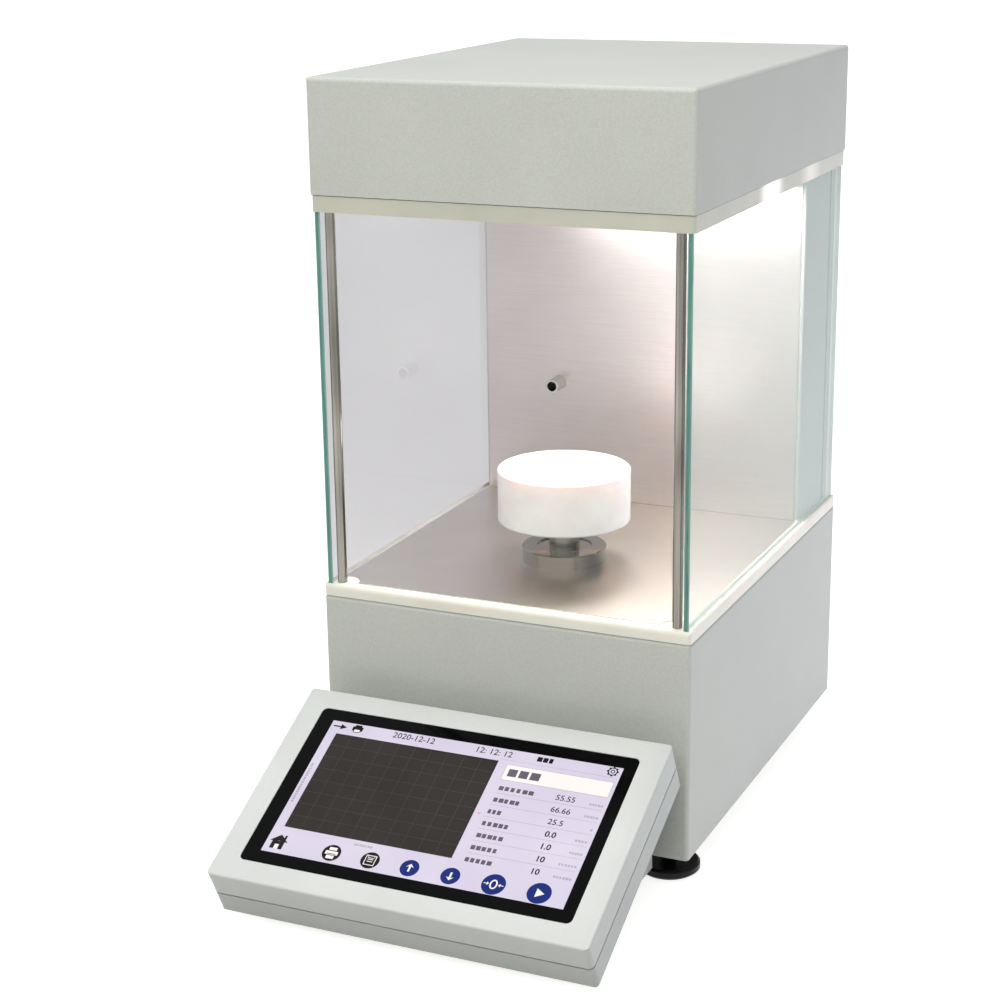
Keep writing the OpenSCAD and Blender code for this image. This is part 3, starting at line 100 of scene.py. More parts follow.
# a mix of two sRGB colours by a pattern
def twoTone(tree, pattern, darkHex, lightHex):
    return addNode(tree, "ShaderNodeMix",
                   {6: linearColour(darkHex), 7: linearColour(lightHex)},
                   {0: spreadOver(tree, pattern, 0.0, 1.0)}, data_type="RGBA").outputs[2]


# two colours by a fine pattern, a little darker and lighter in wide soft clouds
def cloudedTone(tree, place, pattern, darkHex, lightHex, cloudSize, low, high):
    cloud = grain(tree, place, cloudSize)
    return addNode(tree, "ShaderNodeMix", {0: 1.0},
                   {6: twoTone(tree, pattern, darkHex, lightHex),
                    7: spreadOver(tree, cloud, low, high)},
                   data_type="RGBA", blend_type="MULTIPLY").outputs[2]


# a bump whose height is in millimetres
def relief(tree, pattern, height, strength, below=None):
    links = {"Height": pattern}
    if below is not None:
        links["Normal"] = below
    return addNode(tree, "ShaderNodeBump",
                   {"Strength": strength, "Distance": height / 1000.0},
                   links).outputs["Normal"]


cameraPlan = {
    "place": (0.412726, -0.970496, 0.486796),
    "turn": -0.4266,  # heading from +Y, in radians
    "drop": 0.2886,  # angle below the horizon
    "roll": -0.0136,
    "lens": 76.267,
    "sensor": 36.0,
    "farthest": 50.0,
}
skyPlan = {
    # the sky's soft glows: middle, strength and colour of each
    "glows": (((0.0, -1.0, 0.25), 0.42, "#fffef6"), ((0.0, 0.0, 1.0), 0.46, "#fafdff"),
              ((-1.0, 1.0, 0.2), 0.50, "#fbfbff"), ((1.0, 0.4, 0.1), 0.10, "#f0f0ff")),
    "fadeEnd": -0.2,  # cosine of the angle from its middle at which a glow ends
    "seen": 1.0,  # what the eye sees beside the object, all white
    "behindGlass": 0.72,
}
# places and sizes in metres, powers in watts
lampPlan = {
    "keyLamp": {"place": (0.12, -0.85, 0.95), "target": (0.0, 0.0, 0.33),
                "size": 0.8, "power": 5.9, "colour": "#fffcf2"},
    "topLamp": {"place": (0.0, -0.1, 2.2), "target": (0.0, 0.0, 0.3),
                "size": 1.2, "power": 17.0, "colour": "#ffffff"},
    "sideLamp": {"place": (0.65, 0.36, 0.05), "target": (0.1, 0.12, 0.06),
                 "size": 0.3, "power": 2.3, "colour": "#ececff"},
    "chamberLamp": {"place": (-0.01, 0.03, 0.322), "target": (-0.01, 0.03, 0.0),
                    "size": 0.15, "power": 0.36, "colour": "#fffcf9"},
    "rearStrip": {"place": (0.028, 0.108, 0.3225), "target": (0.028, 0.108, 0.0),
                  "size": 0.125, "height": 0.02, "power": 0.47, "colour": "#fffcf9",
                  "mirrored": True},
    "sideStrip": {"place": (0.083, 0.05, 0.3225), "target": (0.083, 0.05, 0.0),
                  "size": 0.016, "height": 0.10, "power": 0.24, "colour": "#fffcf9"},
}


# a placed thing's matrix from its own three axes and its place
def placeMatrix(right, up, back, place):
    matrix = np.eye(4)
    matrix[:3, 0], matrix[:3, 1], matrix[:3, 2] = right, up, back
    matrix[:3, 3] = place
    return matrix.T.tolist()


# a camera at a place, looking along a heading and a drop, rolled about its own axis
def placeCamera(plan):
    turn, drop, roll = plan["turn"], plan["drop"], plan["roll"]
    ahead = np.array([math.cos(drop) * math.sin(turn),
                      math.cos(drop) * math.cos(turn), -math.sin(drop)])
    right = np.array([math.cos(turn), -math.sin(turn), 0.0])
    up = np.cross(right, ahead)
    rolledRight = math.cos(roll) * right + math.sin(roll) * up
    rolledUp = -math.sin(roll) * right + math.cos(roll) * up
    lens = bpy.data.cameras.new("photoCamera")
    lens.lens = plan["lens"]
    lens.sensor_width = plan["sensor"]
    lens.clip_end = plan["farthest"]
    camera = bpy.data.objects.new("photoCamera", lens)
    scene.collection.objects.link(camera)
    camera.matrix_world = placeMatrix(rolledRight, rolledUp, -ahead, plan["place"])
    scene.camera = camera


# a soft lamp at a place, facing a target, seen by nothing unless it is mirrored
def placeLamp(name, plan):
    lamp = bpy.data.lights.new(name, "AREA")
    lamp.size = plan["size"]
    if "height" in plan:
        lamp.shape = "RECTANGLE"
        lamp.size_y = plan["height"]
    lamp.energy = plan["power"]
    lamp.color = linearColour(plan["colour"])[:3]
    holder = bpy.data.objects.new(name, lamp)
    scene.collection.objects.link(holder)
    back = np.array(plan["place"]) - np.array(plan["target"])
    back /= np.linalg.norm(back)
    overhead = abs(back[2]) > 0.9  # then Y stands in for the upright axis
    side = np.cross([0.0, 1.0, 0.0] if overhead else [0.0, 0.0, 1.0], back)
    side /= np.linalg.norm(side)
    holder.matrix_world = placeMatrix(side, np.cross(back, side), back, plan["place"])
    holder.visible_camera = False
    holder.visible_glossy = plan.get("mirrored", False)


# a soft sky: each glow fades smoothly with the angle from its own middle, and they add up
def paintSky(plan):
    world = bpy.data.worlds.new("studioSky")
    scene.world = world
    world.use_nodes = True
    tree = world.node_tree
    tree.nodes.clear()
    direction = addNode(tree, "ShaderNodeTexCoord").outputs["Generated"]
    light = addNode(tree, "ShaderNodeCombineXYZ").outputs[0]  # black to start with
    for middle, strength, colour in plan["glows"]:
        middle = np.array(middle) / np.linalg.norm(middle)
        toward = addNode(tree, "ShaderNodeVectorMath", {1: middle.tolist()}, {0: direction},
                         operation="DOT_PRODUCT").outputs["Value"]
        glow = addNode(tree, "ShaderNodeMapRange",
                       {"From Min": plan["fadeEnd"], "From Max": 1.0,
                        "To Min": 0.0, "To Max": strength},
                       {"Value": toward}, interpolation_type="SMOOTHSTEP")
        tinted = addNode(tree, "ShaderNodeVectorMath", {0: linearColour(colour)[:3]},
                         {"Scale": glow.outputs["Result"]}, operation="SCALE").outputs[0]
        light = addNode(tree, "ShaderNodeVectorMath", {}, {0: light, 1: tinted},
                        operation="ADD").outputs[0]
    sky = addNode(tree, "ShaderNodeBackground", {"Strength": 1.0}, {"Color": light})
    ray = addNode(tree, "ShaderNodeLightPath").outputs
    level = addNode(tree, "ShaderNodeMapRange",
                    {"To Min": plan["seen"], "To Max": plan["behindGlass"]},
                    {"Value": ray["Transparent Depth"]}).outputs["Result"]
    white = addNode(tree, "ShaderNodeBackground", {"Color": linearColour("#ffffff")},
                    {"Strength": level})
    both = addNode(tree, "ShaderNodeMixShader", {}, {
        0: ray["Is Camera Ray"], 1: sky.outputs[0], 2: white.outputs[0]})
    addNode(tree, "ShaderNodeOutputWorld", links={"Surface": both.outputs[0]})


placeCamera(cameraPlan)
paintSky(skyPlan)
for lampName, lampValues in lampPlan.items():
    placeLamp(lampName, lampValues)
scene.view_settings.view_transform = "Standard"
print("camera and light placed")


# polyester powder coat on sheet steel: satin, with a fine orange peel that softens the
# lights on it; the texture of 0.2 mm is drawn at 0.9 mm so that it shows
def powderCoat(name, darkHex, lightHex):
    material, tree, place = startMaterial(name)
    speck = grain(tree, place, 0.9, 3.0, 0.6)
    peel = relief(tree, grain(tree, place, 1.6), 0.08, 0.5)
    colour = cloudedTone(tree, place, speck, darkHex, lightHex, 70.0, 0.97, 1.03)
    shader = addNode(tree, "ShaderNodeBsdfPrincipled", {"IOR": 1.5},
                     {"Base Color": colour,
                      "Roughness": spreadOver(tree, speck, 0.42, 0.52),
                      "Normal": relief(tree, speck, 0.05, 0.5, peel)})
    return endMaterial(material, shader)


# moulded ABS under a silver-grey satin paint: smooth, with a fine grain that barely
# glints; the paint's flakes of 0.05 mm are drawn at 0.7 mm
def satinPaint(name, darkHex, lightHex):
    material, tree, place = startMaterial(name)
    speck = grain(tree, place, 0.7, 3.0, 0.7)
    colour = cloudedTone(tree, place, speck, darkHex, lightHex, 45.0, 0.97, 1.02)
    shader = addNode(tree, "ShaderNodeBsdfPrincipled", {"IOR": 1.5},
                     {"Base Color": colour,
                      "Roughness": spreadOver(tree, speck, 0.34, 0.48),
                      "Normal": relief(tree, speck, 0.03, 0.4)})
    return endMaterial(material, shader)


# opal acrylic: cream, with a painted glow, even over the plate and brighter at each painted
# spot of light (middle, reach and strength)
def opalAcrylic(name, darkHex, lightHex, glow, paintedLightSpots):
    material, tree, place = startMaterial(name)
    cloud = grain(tree, place, 40.0)
    # the painted glow, then each painted spot of light added to it
    level = addNode(tree, "ShaderNodeValue").outputs[0]
    level.default_value = glow
    for middle, reach, strength in paintedLightSpots:
        offset = addNode(tree, "ShaderNodeVectorMath", {1: middle}, {0: place},
                         operation="DISTANCE").outputs["Value"]
        near = addNode(tree, "ShaderNodeMapRange",
                       {"From Min": 0.0, "From Max": reach,
                        "To Min": strength, "To Max": 0.0},
                       {"Value": offset}, interpolation_type="SMOOTHSTEP").outputs["Result"]
        level = addNode(tree, "ShaderNodeMath", {}, {0: near, 1: level},
                        operation="ADD").outputs[0]
    shader = addNode(tree, "ShaderNodeBsdfPrincipled",
                     {"IOR": 1.49, "Roughness": 0.20, "Subsurface Weight": 0.25,
                      "Subsurface Scale": 0.004, "Emission Color": linearColour("#fffaf0")},
                     {"Base Color": twoTone(tree, cloud, darkHex, lightHex),
                      "Emission Strength": level})
    return endMaterial(material, shader)


# stainless brushed or drawn along one axis: fine streaks, and reflections drawn out
# across them; streaks of about 0.1 mm are drawn at the widths given, so that they show
def brushedStainless(name, darkHex, lightHex, streak, rough, height, across):
    material, tree, place = startMaterial(name)
    lines = grain(tree, place, streak, 3.0, 0.6)
    cloud = grain(tree, place, 55.0)
    both = addNode(tree, "ShaderNodeMath", {}, {0: lines, 1: cloud}, operation="ADD")
    half = addNode(tree, "ShaderNodeMath", {1: 0.5}, {0: both.outputs[0]},
                   operation="MULTIPLY").outputs[0]
    tangent = addNode(tree, "ShaderNodeCombineXYZ", dict(zip("XYZ", across))).outputs[0]
    shader = addNode(tree, "ShaderNodeBsdfPrincipled",
                     {"Metallic": 1.0, "Anisotropic": 0.3},
                     {"Base Color": twoTone(tree, half, darkHex, lightHex),
                      "Roughness": spreadOver(tree, lines, *rough),
                      "Normal": relief(tree, lines, height, 0.4),
                      "Tangent": tangent})
    return endMaterial(material, shader)


# rings round an upright axis: noise over the distance from the axis and the height; a
# lathe's rings of 0.1 mm are drawn at the width given, so that they show
def turnedRings(tree, place, axis, width, rough=0.5):
    centred = addNode(tree, "ShaderNodeMapping", {"Location": tuple(-a for a in axis)},
                      {"Vector": place}).outputs["Vector"]
    parts = addNode(tree, "ShaderNodeSeparateXYZ", links={"Vector": centred}).outputs
    flat = addNode(tree, "ShaderNodeCombineXYZ", {}, {"X": parts["X"], "Y": parts["Y"]})
    radius = addNode(tree, "ShaderNodeVectorMath", {}, {0: flat.outputs[0]},
                     operation="LENGTH").outputs["Value"]
    profile = addNode(tree, "ShaderNodeCombineXYZ", {}, {"X": radius, "Z": parts["Z"]})
    return grain(tree, profile.outputs[0], width, 2.0, rough)


# turned metal: the fine rings that the lathe leaves, which draw its glints into circles
def turnedSteel(name, darkHex, lightHex, rough, ring=0.5, axis=(0.0, 0.0, 0.0)):
    material, tree, place = startMaterial(name)
    rings = turnedRings(tree, place, axis, ring, 0.6)
    shader = addNode(tree, "ShaderNodeBsdfPrincipled", {"Metallic": 1.0},
                     {"Base Color": twoTone(tree, rings, darkHex, lightHex),
                      "Roughness": spreadOver(tree, rings, *rough),
                      "Normal": relief(tree, rings, 0.01, 0.35)})
    return endMaterial(material, shader)


# turned white polymer: matt, slightly translucent, faint turning rings on its top
def turnedPolymer(name, darkHex, lightHex, axis):
    material, tree, place = startMaterial(name)
    rings = turnedRings(tree, place, axis, 0.6)
    cloud = grain(tree, place, 12.0)
    shader = addNode(tree, "ShaderNodeBsdfPrincipled",
                     {"IOR": 1.43, "Subsurface Weight": 0.35, "Subsurface Scale": 0.008},
                     {"Base Color": twoTone(tree, cloud, darkHex, lightHex),
                      "Roughness": spreadOver(tree, rings, 0.42, 0.55),
                      "Normal": relief(tree, rings, 0.01, 0.3)})
    return endMaterial(material, shader)


# a plain moulded, plated or painted surface: an even sheen over a grit that is given in
# millimetres, coarser than the real one so that it shows
def mouldedFinish(name, darkHex, lightHex, grit, rough, height, metallic=0.0, ior=1.5):
    material, tree, place = startMaterial(name)
    speck = grain(tree, place, grit, 3.0, 0.6)
    shader = addNode(tree, "ShaderNodeBsdfPrincipled", {"Metallic": metallic, "IOR": ior},
                     {"Base Color": twoTone(tree, speck, darkHex, lightHex),
                      "Roughness": spreadOver(tree, speck, *rough),
                      "Normal": relief(tree, speck, height, 0.4)})
    return endMaterial(material, shader)


# black-backed cover glass, polished: deep black under one clean reflection
def coverGlass(name, darkHex, lightHex):
    material, tree, place = startMaterial(name)
    smear = grain(tree, place, 30.0, 3.0)
    shader = addNode(tree, "ShaderNodeBsdfPrincipled",
                     {"IOR": 1.5, "Specular IOR Level": 0.08},
                     {"Base Color": twoTone(tree, smear, darkHex, lightHex),
                      "Roughness": spreadOver(tree, smear, 0.03, 0.07)})
    return endMaterial(material, shader)


# one lit colour of the display: its own light, a little uneven as a backlight is
def litScreen(name, darkHex, lightHex, glow):
    material, tree, place = startMaterial(name)
    colour = twoTone(tree, grain(tree, place, 38.0, 1.0), darkHex, lightHex)
    unlit = addNode(tree, "ShaderNodeMix", {0: 0.75, 7: (0, 0, 0, 1)}, {6: colour},
                    data_type="RGBA").outputs[2]
    shader = addNode(tree, "ShaderNodeBsdfPrincipled",
                     {"IOR": 1.5, "Specular IOR Level": 0.08, "Roughness": 0.06,
                      "Emission Strength": glow},
                     {"Base Color": unlit, "Emission Color": colour})
    return endMaterial(material, shader)


# glass-fibre circuit board: lacquer over a weave of 6 mm, coarser than the real 0.5 mm so
# that it shows, with lighter component marks of 7 mm
def circuitBoard(name, darkHex, lightHex):
    material, tree, place = startMaterial(name)
    weave = addNode(tree, "ShaderNodeTexWave", {"Scale": 1000.0 / 6.0, "Distortion": 0.5},
                    {"Vector": place}, wave_profile="SIN").outputs["Fac"]
    patch = addNode(tree, "ShaderNodeTexVoronoi", {"Scale": 1000.0 / 7.0},
                    {"Vector": place}, distance="CHEBYCHEV").outputs["Distance"]
    shader = addNode(tree, "ShaderNodeBsdfPrincipled", {"IOR": 1.55, "Roughness": 0.35},
                     {"Base Color": twoTone(tree, patch, darkHex, lightHex),
                      "Normal": relief(tree, weave, 0.02, 0.4)})
    return endMaterial(material, shader)


discLow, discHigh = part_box("stage_disc")
stageAxis = (0.0, (discLow.y + discHigh.y) / 2, 0.0)
finishes = {
    "housingPaint": powderCoat("powderCoatedSteel", "#b4b7b2", "#c0c3be"),
    "chassisPaint": powderCoat("powderCoatedChassis", "#a3a69f", "#b2b5ae"),
    # painted glow: on the base plate it stands in for the chamber lamps' light falling on
    # it, brighter towards its rear right; on the top plate two painted bright spots sit on
    # its right side
    "basePlate": opalAcrylic("opalAcrylicBasePaintedGlow", "#d6d4c9", "#e0ded5", glow=0.02,
                             paintedLightSpots=(((0.08, 0.08, 0.135), 0.16, 0.01),)),
    "topPlate": opalAcrylic("opalAcrylicTopPaintedGlow", "#b6b7aa", "#c1c1b6", glow=0.01,
                            paintedLightSpots=(((0.0994, 0.0532, 0.3315), 0.024, 0.9),
                                   ((0.0994, 0.1229, 0.3308), 0.024, 0.25))),
    "brushedBack": brushedStainless("brushedStainlessBack", "#d9d1d0", "#ebe3e2",
                                    streak=(30.0, 30.0, 0.45), rough=(0.36, 0.46),
                                    height=0.02, across=(0.0, 0.0, 1.0)),
    "brushedFloor": brushedStainless("brushedStainlessFloor", "#dfd7cf", "#eae2da",
                                     streak=(30.0, 0.45, 30.0), rough=(0.28, 0.34),
                                     height=0.001, across=(0.0, 1.0, 0.0)),
    "pillarSteel": brushedStainless("drawnStainlessRod", "#5f5c56", "#a39f98",
                                    streak=(1.5, 1.5, 140.0), rough=(0.10, 0.18),
                                    height=0.002, across=(1.0, 0.0, 0.0)),
    "brightSteel": turnedSteel("turnedStainless", "#b9b8b4", "#d6d5d1",
                               rough=(0.12, 0.22), axis=stageAxis),
    "flangeSteel": turnedSteel("turnedStainlessFlange", "#aeaba5", "#cbc9c3",
                               rough=(0.09, 0.16), axis=stageAxis),
    "stemSteel": turnedSteel("burnishedSteel", "#b3b0a9", "#cbc8c1",
                             rough=(0.24, 0.36), ring=0.4, axis=stageAxis),
    "brass": turnedSteel("turnedBrass", "#a98a45", "#c9a95c", rough=(0.22, 0.34)),
    "discPolymer": turnedPolymer("turnedPolymer", "#eeedea", "#f6f5f3", stageAxis),
    "coverGlass": coverGlass("blackBackedGlass", "#030304", "#060607"),
    "panelPaint": satinPaint("silverSatinPaint", "#b6b9b8", "#bec1c0"),
    # a darker copy of the same paint for the lower shell: painted shade, as the lower shell
    # faces down towards the floor
    "panelPaintShadedLow": satinPaint("silverSatinPaintShadedLow", "#a9adac", "#b1b4b3"),
    "circuitBoard": circuitBoard("glassFibreBoard", "#1e5a3b", "#2c7550"),
    "ledBoard": circuitBoard("whiteLampBoard", "#e4ddc8", "#f6f1e2"),
    "fastenerSteel": mouldedFinish("zincPlatedSteel", "#a9aaa8", "#c8c9c6", grit=0.8,
                                   rough=(0.28, 0.42), height=0.02, metallic=1.0),
    "aluminium": mouldedFinish("machinedAluminium", "#b7b9bb", "#cfd0d1", grit=0.7,
                               rough=(0.28, 0.4), height=0.02, metallic=1.0),
    "display": mouldedFinish("displayHousing", "#8a8b8e", "#a2a3a6", grit=3.0,
                             rough=(0.35, 0.5), height=0.02, metallic=0.6),
    "padRubber": mouldedFinish("mouldedRubber", "#171718", "#232324", grit=0.8,
                               rough=(0.6, 0.78), height=0.05),
    "footBlack": mouldedFinish("blackSatinLacquer", "#050507", "#0b0b0d", grit=1.2,
                               rough=(0.30, 0.40), height=0.02, ior=1.3),
    "motorBlack": mouldedFinish("paintedLaminations", "#141416", "#242427", grit=0.6,
                                rough=(0.4, 0.55), height=0.05),
    "blackPlastic": mouldedFinish("mouldedBlackPlastic", "#0e0e10", "#1b1b1d", grit=0.6,
                                  rough=(0.38, 0.52), height=0.04),
}
print("finishes made:", len(finishes))


nodeFinishes = {
    "housingPaint": ("base_housing", "head_housing", "column_shell", "rear_cover",
                     "panel_bracket"),
    "chassisPaint": ("base_pan", "head_chassis", "connector_plate", "power_supply"),
    "basePlate": ("base_plate",),
    "topPlate": ("top_plate",),
    "brushedBack": ("back_panel",),
    "brushedFloor": ("floor_sheet",),
    "brightSteel": ("probe_tube", "guide_rods", "weighing_hook"),
    "flangeSteel": ("stage_flange",),
    "pillarSteel": ("left_pillar", "right_pillar"),
    "fastenerSteel": ("cover_screws", "panel_screws", "foot_nuts", "rear_foot_screws",
                      "probe_nut", "flange_nut", "frame_posts", "lift_screw", "hanger_arm"),
    "stemSteel": ("stage_stem",),
    "discPolymer": ("stage_disc",),
    "coverGlass": ("touch_glass",),
    "display": ("display_module",),
    "panelPaint": ("panel_upper_shell",),
    "panelPaintShadedLow": ("panel_lower_shell",),
    "padRubber": ("rear_feet",),
    "footBlack": ("left_foot_pad", "right_foot_pad", "left_foot_screw",
                  "right_foot_screw"),
    "aluminium": ("lift_carriage", "upper_plate", "lower_plate", "cell_block",
                  "weigh_cell", "screw_bearing"),
    "brass": ("carriage_bushes", "lift_nut"),
    "motorBlack": ("lift_motor",),
    "circuitBoard": ("main_board", "amplifier_board", "panel_board"),
    "ledBoard": ("led_strip",),
    "blackPlastic": ("power_inlet", "rocker_frame", "power_rocker", "serial_port",
                     "usb_port"),
}
dressed = set()
for finish, names in nodeFinishes.items():
    for name in names:
        mesh = nodes[name].data
        mesh.materials.clear()
        mesh.materials.append(finishes[finish])
        dressed.add(name)
print("nodes dressed:", len(dressed), "left plain:", sorted(set(nodes) - dressed))


# a mesh from points in metres and faces, each part with its own material number
def addMesh(name, body, parts, materials):
    points = np.concatenate([part[0] for part in parts])
    starts = np.cumsum([0] + [len(part[0]) for part in parts])
    faces, numbers = [], []
    for start, part in zip(starts, parts):
        faces += (np.asarray(part[1]) + start).tolist()
        numbers += [part[2]] * len(part[1])
    mesh = bpy.data.meshes.new(name)
    mesh.from_pydata(points.tolist(), [], faces)
    for material in materials:
        mesh.materials.append(material)
    mesh.polygons.foreach_set("material_index", np.array(numbers, np.int32))
    mesh.polygons.foreach_set("use_smooth", np.zeros(len(faces), bool))
    mesh.update()
    piece = bpy.data.objects.new(name, mesh)
    scene.collection.objects.link(piece)
    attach(piece, body)
    return piece


# quads between the rows of a grid, whose columns close on themselves
def ringFaces(rows, columns):
    row, column = np.meshgrid(np.arange(rows - 1), np.arange(columns), indexing="ij")
    after = (column + 1) % columns
    quads = [row * columns + column, row * columns + after,
             (row + 1) * columns + after, (row + 1) * columns + column]
    return np.stack(quads, axis=-1).reshape(-1, 4)


# triangles from a middle point, last in the list, to a closed outline
def fanFaces(count):
    edge = np.arange(count)
    return np.stack([edge, (edge + 1) % count, np.full(count, count)], axis=-1)


# a rectangle's outline with round corners: each corner's arc about its own centre
def roundedOutline(width, height, radius, steps=6):
    quarter = math.pi / 2
    turn = np.linspace(0.0, quarter, steps)[None, :] + np.arange(4)[:, None] * quarter
    signX = np.array([1, -1, -1, 1])[:, None]
    signY = np.array([1, 1, -1, -1])[:, None]
    across = signX * (width / 2 - radius) + radius * np.cos(turn)
    along = signY * (height / 2 - radius) + radius * np.sin(turn)
    return np.stack([across, along], axis=-1).reshape(-1, 2)


paneShape = {
    "chamfer": 0.0004,
    "corner": 0.0015,
    "coreStart": 0.30,  # share of half the thickness in which the edge is deepest green
    "frontStart": 0.0010, "frontEnd": 0.0030,  # where the green front end fades, from it
}


# clear float glass: what it passes is barely tinted, and it mirrors more at a slant
def floatGlass(name, passes):
    material, tree, place = startMaterial(name)
    wave = grain(tree, place, 90.0)
    gloss = addNode(tree, "ShaderNodeBsdfPrincipled",
                    {"Base Color": linearColour("#dfeceb"), "Roughness": 0.02,
                     "IOR": 1.52, "Metallic": 1.0},
                    {"Normal": relief(tree, wave, 0.01, 0.1)}).outputs[0]
    clear = addNode(tree, "ShaderNodeBsdfTransparent",
                    {"Color": linearColour(passes)}).outputs[0]
    slant = addNode(tree, "ShaderNodeFresnel", {"IOR": 1.7}).outputs[0]
    inside = addNode(tree, "ShaderNodeNewGeometry").outputs["Backfacing"]
    share = addNode(tree, "ShaderNodeMix", {3: 0.0}, {0: inside, 2: slant}).outputs[0]
    both = addNode(tree, "ShaderNodeMixShader", {}, {0: share, 1: clear, 2: gloss})
    return endMaterial(material, both)


# the ground edge of float glass: deep green at its front end, where one looks along the
# pane's length, darkest in the middle of its thickness, and pale on the short ways
# through it; the wheel's marks of 0.1 mm are drawn at 1.2 mm
def groundEdge(name, pane):
    material, tree, place = startMaterial(name)
    low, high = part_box(pane)
    middle, half = abs(low.x + high.x) / 2, (high.x - low.x) / 2
    streak = grain(tree, place, (1.2, 6.0, 25.0), 3.0)
    parts = addNode(tree, "ShaderNodeSeparateXYZ", links={"Vector": place}).outputs
    side = addNode(tree, "ShaderNodeMath", {}, {0: parts["X"]}, operation="ABSOLUTE")
    offset = addNode(tree, "ShaderNodeMath", {1: middle}, {0: side.outputs[0]},
                     operation="SUBTRACT").outputs[0]
    depth = addNode(tree, "ShaderNodeMath", {}, {0: offset}, operation="ABSOLUTE")
    core = addNode(tree, "ShaderNodeMapRange",
                   {"From Min": paneShape["coreStart"] * half, "From Max": 1.0 * half},
                   {"Value": depth.outputs[0]},
                   interpolation_type="SMOOTHSTEP").outputs["Result"]
    behind = addNode(tree, "ShaderNodeMapRange",
                     {"From Min": low.y + paneShape["frontStart"],
                      "From Max": low.y + paneShape["frontEnd"]},
                     {"Value": parts["Y"]}).outputs["Result"]
    green = addNode(tree, "ShaderNodeMix", {}, {
        0: core, 6: twoTone(tree, streak, "#3c7067", "#548a80"),
        7: twoTone(tree, streak, "#749c96", "#90b4ae")}, data_type="RGBA").outputs[2]
    colour = addNode(tree, "ShaderNodeMix", {}, {
        0: behind, 6: green, 7: twoTone(tree, streak, "#d3dedc", "#e6eeec")},
        data_type="RGBA").outputs[2]
    shader = addNode(tree, "ShaderNodeBsdfPrincipled", {"IOR": 1.52}, {
        "Base Color": colour, "Roughness": spreadOver(tree, streak, 0.22, 0.38)})
    return endMaterial(material, shader)


# a pane: an outline in Y and Z carried across X through four rings, inset at both faces
def makePane(name, node, body, glass, edge):
    low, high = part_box(node)
    length, height = high.y - low.y, high.z - low.z
    middle = np.array([0.0, (low.y + high.y) / 2, (low.z + high.z) / 2])
    inset = paneShape["chamfer"]
    full = roundedOutline(length, height, paneShape["corner"])
    small = roundedOutline(length - 2 * inset, height - 2 * inset, paneShape["corner"])
    rings = []
    for across, outline in ((low.x, small), (low.x + inset, full),
                            (high.x - inset, full), (high.x, small)):
        ring = np.zeros((len(outline), 3))
        ring[:, 0] = across
        ring[:, 1:] = outline
        rings.append(ring + middle)
    count = len(full)
    edges = (np.concatenate(rings), ringFaces(4, count)[:, ::-1], 1)
    caps = []
    for ring, order in ((rings[0], -1), (rings[3], 1)):
        centre = ring.mean(axis=0, keepdims=True)
        caps.append((np.concatenate([ring, centre]), fanFaces(count)[:, ::order], 0))
    pane = addMesh(name, body, [edges] + caps, [glass, edge])
    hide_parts(node)


edgeFinish = groundEdge("groundGlassEdge", "left_pane")
# the left pane passes a darker, lavender tint than the right one: painted reflection,
# standing in for the darker parts it mirrors at its slant
makePane("leftGlass", "left_pane", "left_door",
         floatGlass("floatGlassLeftPaintedReflection", "#f2f1f4"), edgeFinish)
makePane("rightGlass", "right_pane", "right_door",
         floatGlass("floatGlassRight", "#f8fafa"), edgeFinish)
print("panes made")


# millimetres in the panel's own plane: across from its middle, up from its lower edge
screenPlan = {
    "tilt": math.radians(26.5),
    # the glass's face over that plane, its lower edge along it, and its length
    "glassTop": 27.6, "glassStart": 11.85, "glassRun": 99.3,
    "lift": 0.02, "layer": 0.025,  # first layer over the glass, and each next one
    "screen": (-77.5, 19.2, 79.5, 104.2),  # left, low, right, high
    "graph": (-72.4, 35.2, 17.2, 96.3), "graphColumns": 10, "graphRows": 8,
    "graphLine": 0.22, "graphMark": (19.9, 63.9),
    "field": (22.4, 85.4, 77.8, 94.9), "fieldCorner": 0.8, "fieldLine": 0.25,
    "headerRule": (17.7, 76.6, 97.6), "headerLine": 0.2,  # left, right, height, width
    "rowLeft": 23.0, "rowRight": 77.6, "rowFirst": 77.0, "rowStep": 7.36, "rowLine": 0.22,
    "ruleRise": 0.25,  # of a rule's right end
    "valueAcross": 58.2, "valueFirst": 80.4, "valueStep": 7.33, "valueSize": 4.6,
    "valueDrift": 0.15,  # each value stands a little right of the one above
    "valueWeights": (0.03, 0.03, 0.03, 0.11, 0.11, 0.11, 0.11),
    "values": ("55.55", "66.66", "25.5", "0.0", "1.0", "10", "10"),
    "labelWidths": (18.6, 14.2, 7.2, 14.2, 14.2, 14.2, 14.0), "labelTall": 2.5,
    "labelInset": 0.7, "labelDrop": 0.2,  # from the row's left end, below its value
    "unitWidths": (7.2, 7.2, 1.6, 6.6, 6.8, 9.4, 9.4), "smallTall": 1.3,
    "unitOutset": 0.2, "unitDrop": 0.6,  # past the row's right end, below its value
    "fieldWord": (24.6, 90.2, 17.6, 4.6),  # left, middle height, width, letters' height
    "headerWord": (35.8, 101.2, 9.4, 2.9), "lowWord": (-33.0, 32.6, 10.0, 1.3),
    "sideWord": (-75.7, 75.4, 25.5, 1.3),  # written upwards from its lower end
    "dateAndTime": (("2020-12-12", -30.9, 101.2, 5.0), ("12: 12: 12", 12.8, 100.9, 5.0)),
    "arrowSign": (-75.9, 100.9), "printerSign": (-62.4, 101.1), "cogSign": (74.9, 101.2),
    "houseSign": (-71.0, 26.0),
    "buttonAcross": {"printer": -41.8, "save": -21.2, "up": -0.4, "down": 20.7,
                     "tare": 42.7, "play": 65.5},
    "buttonHigh": 25.3, "smallButton": 4.8, "largeButton": 5.9,
}
tilt = screenPlan["tilt"]
glassLow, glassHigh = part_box("touch_glass")
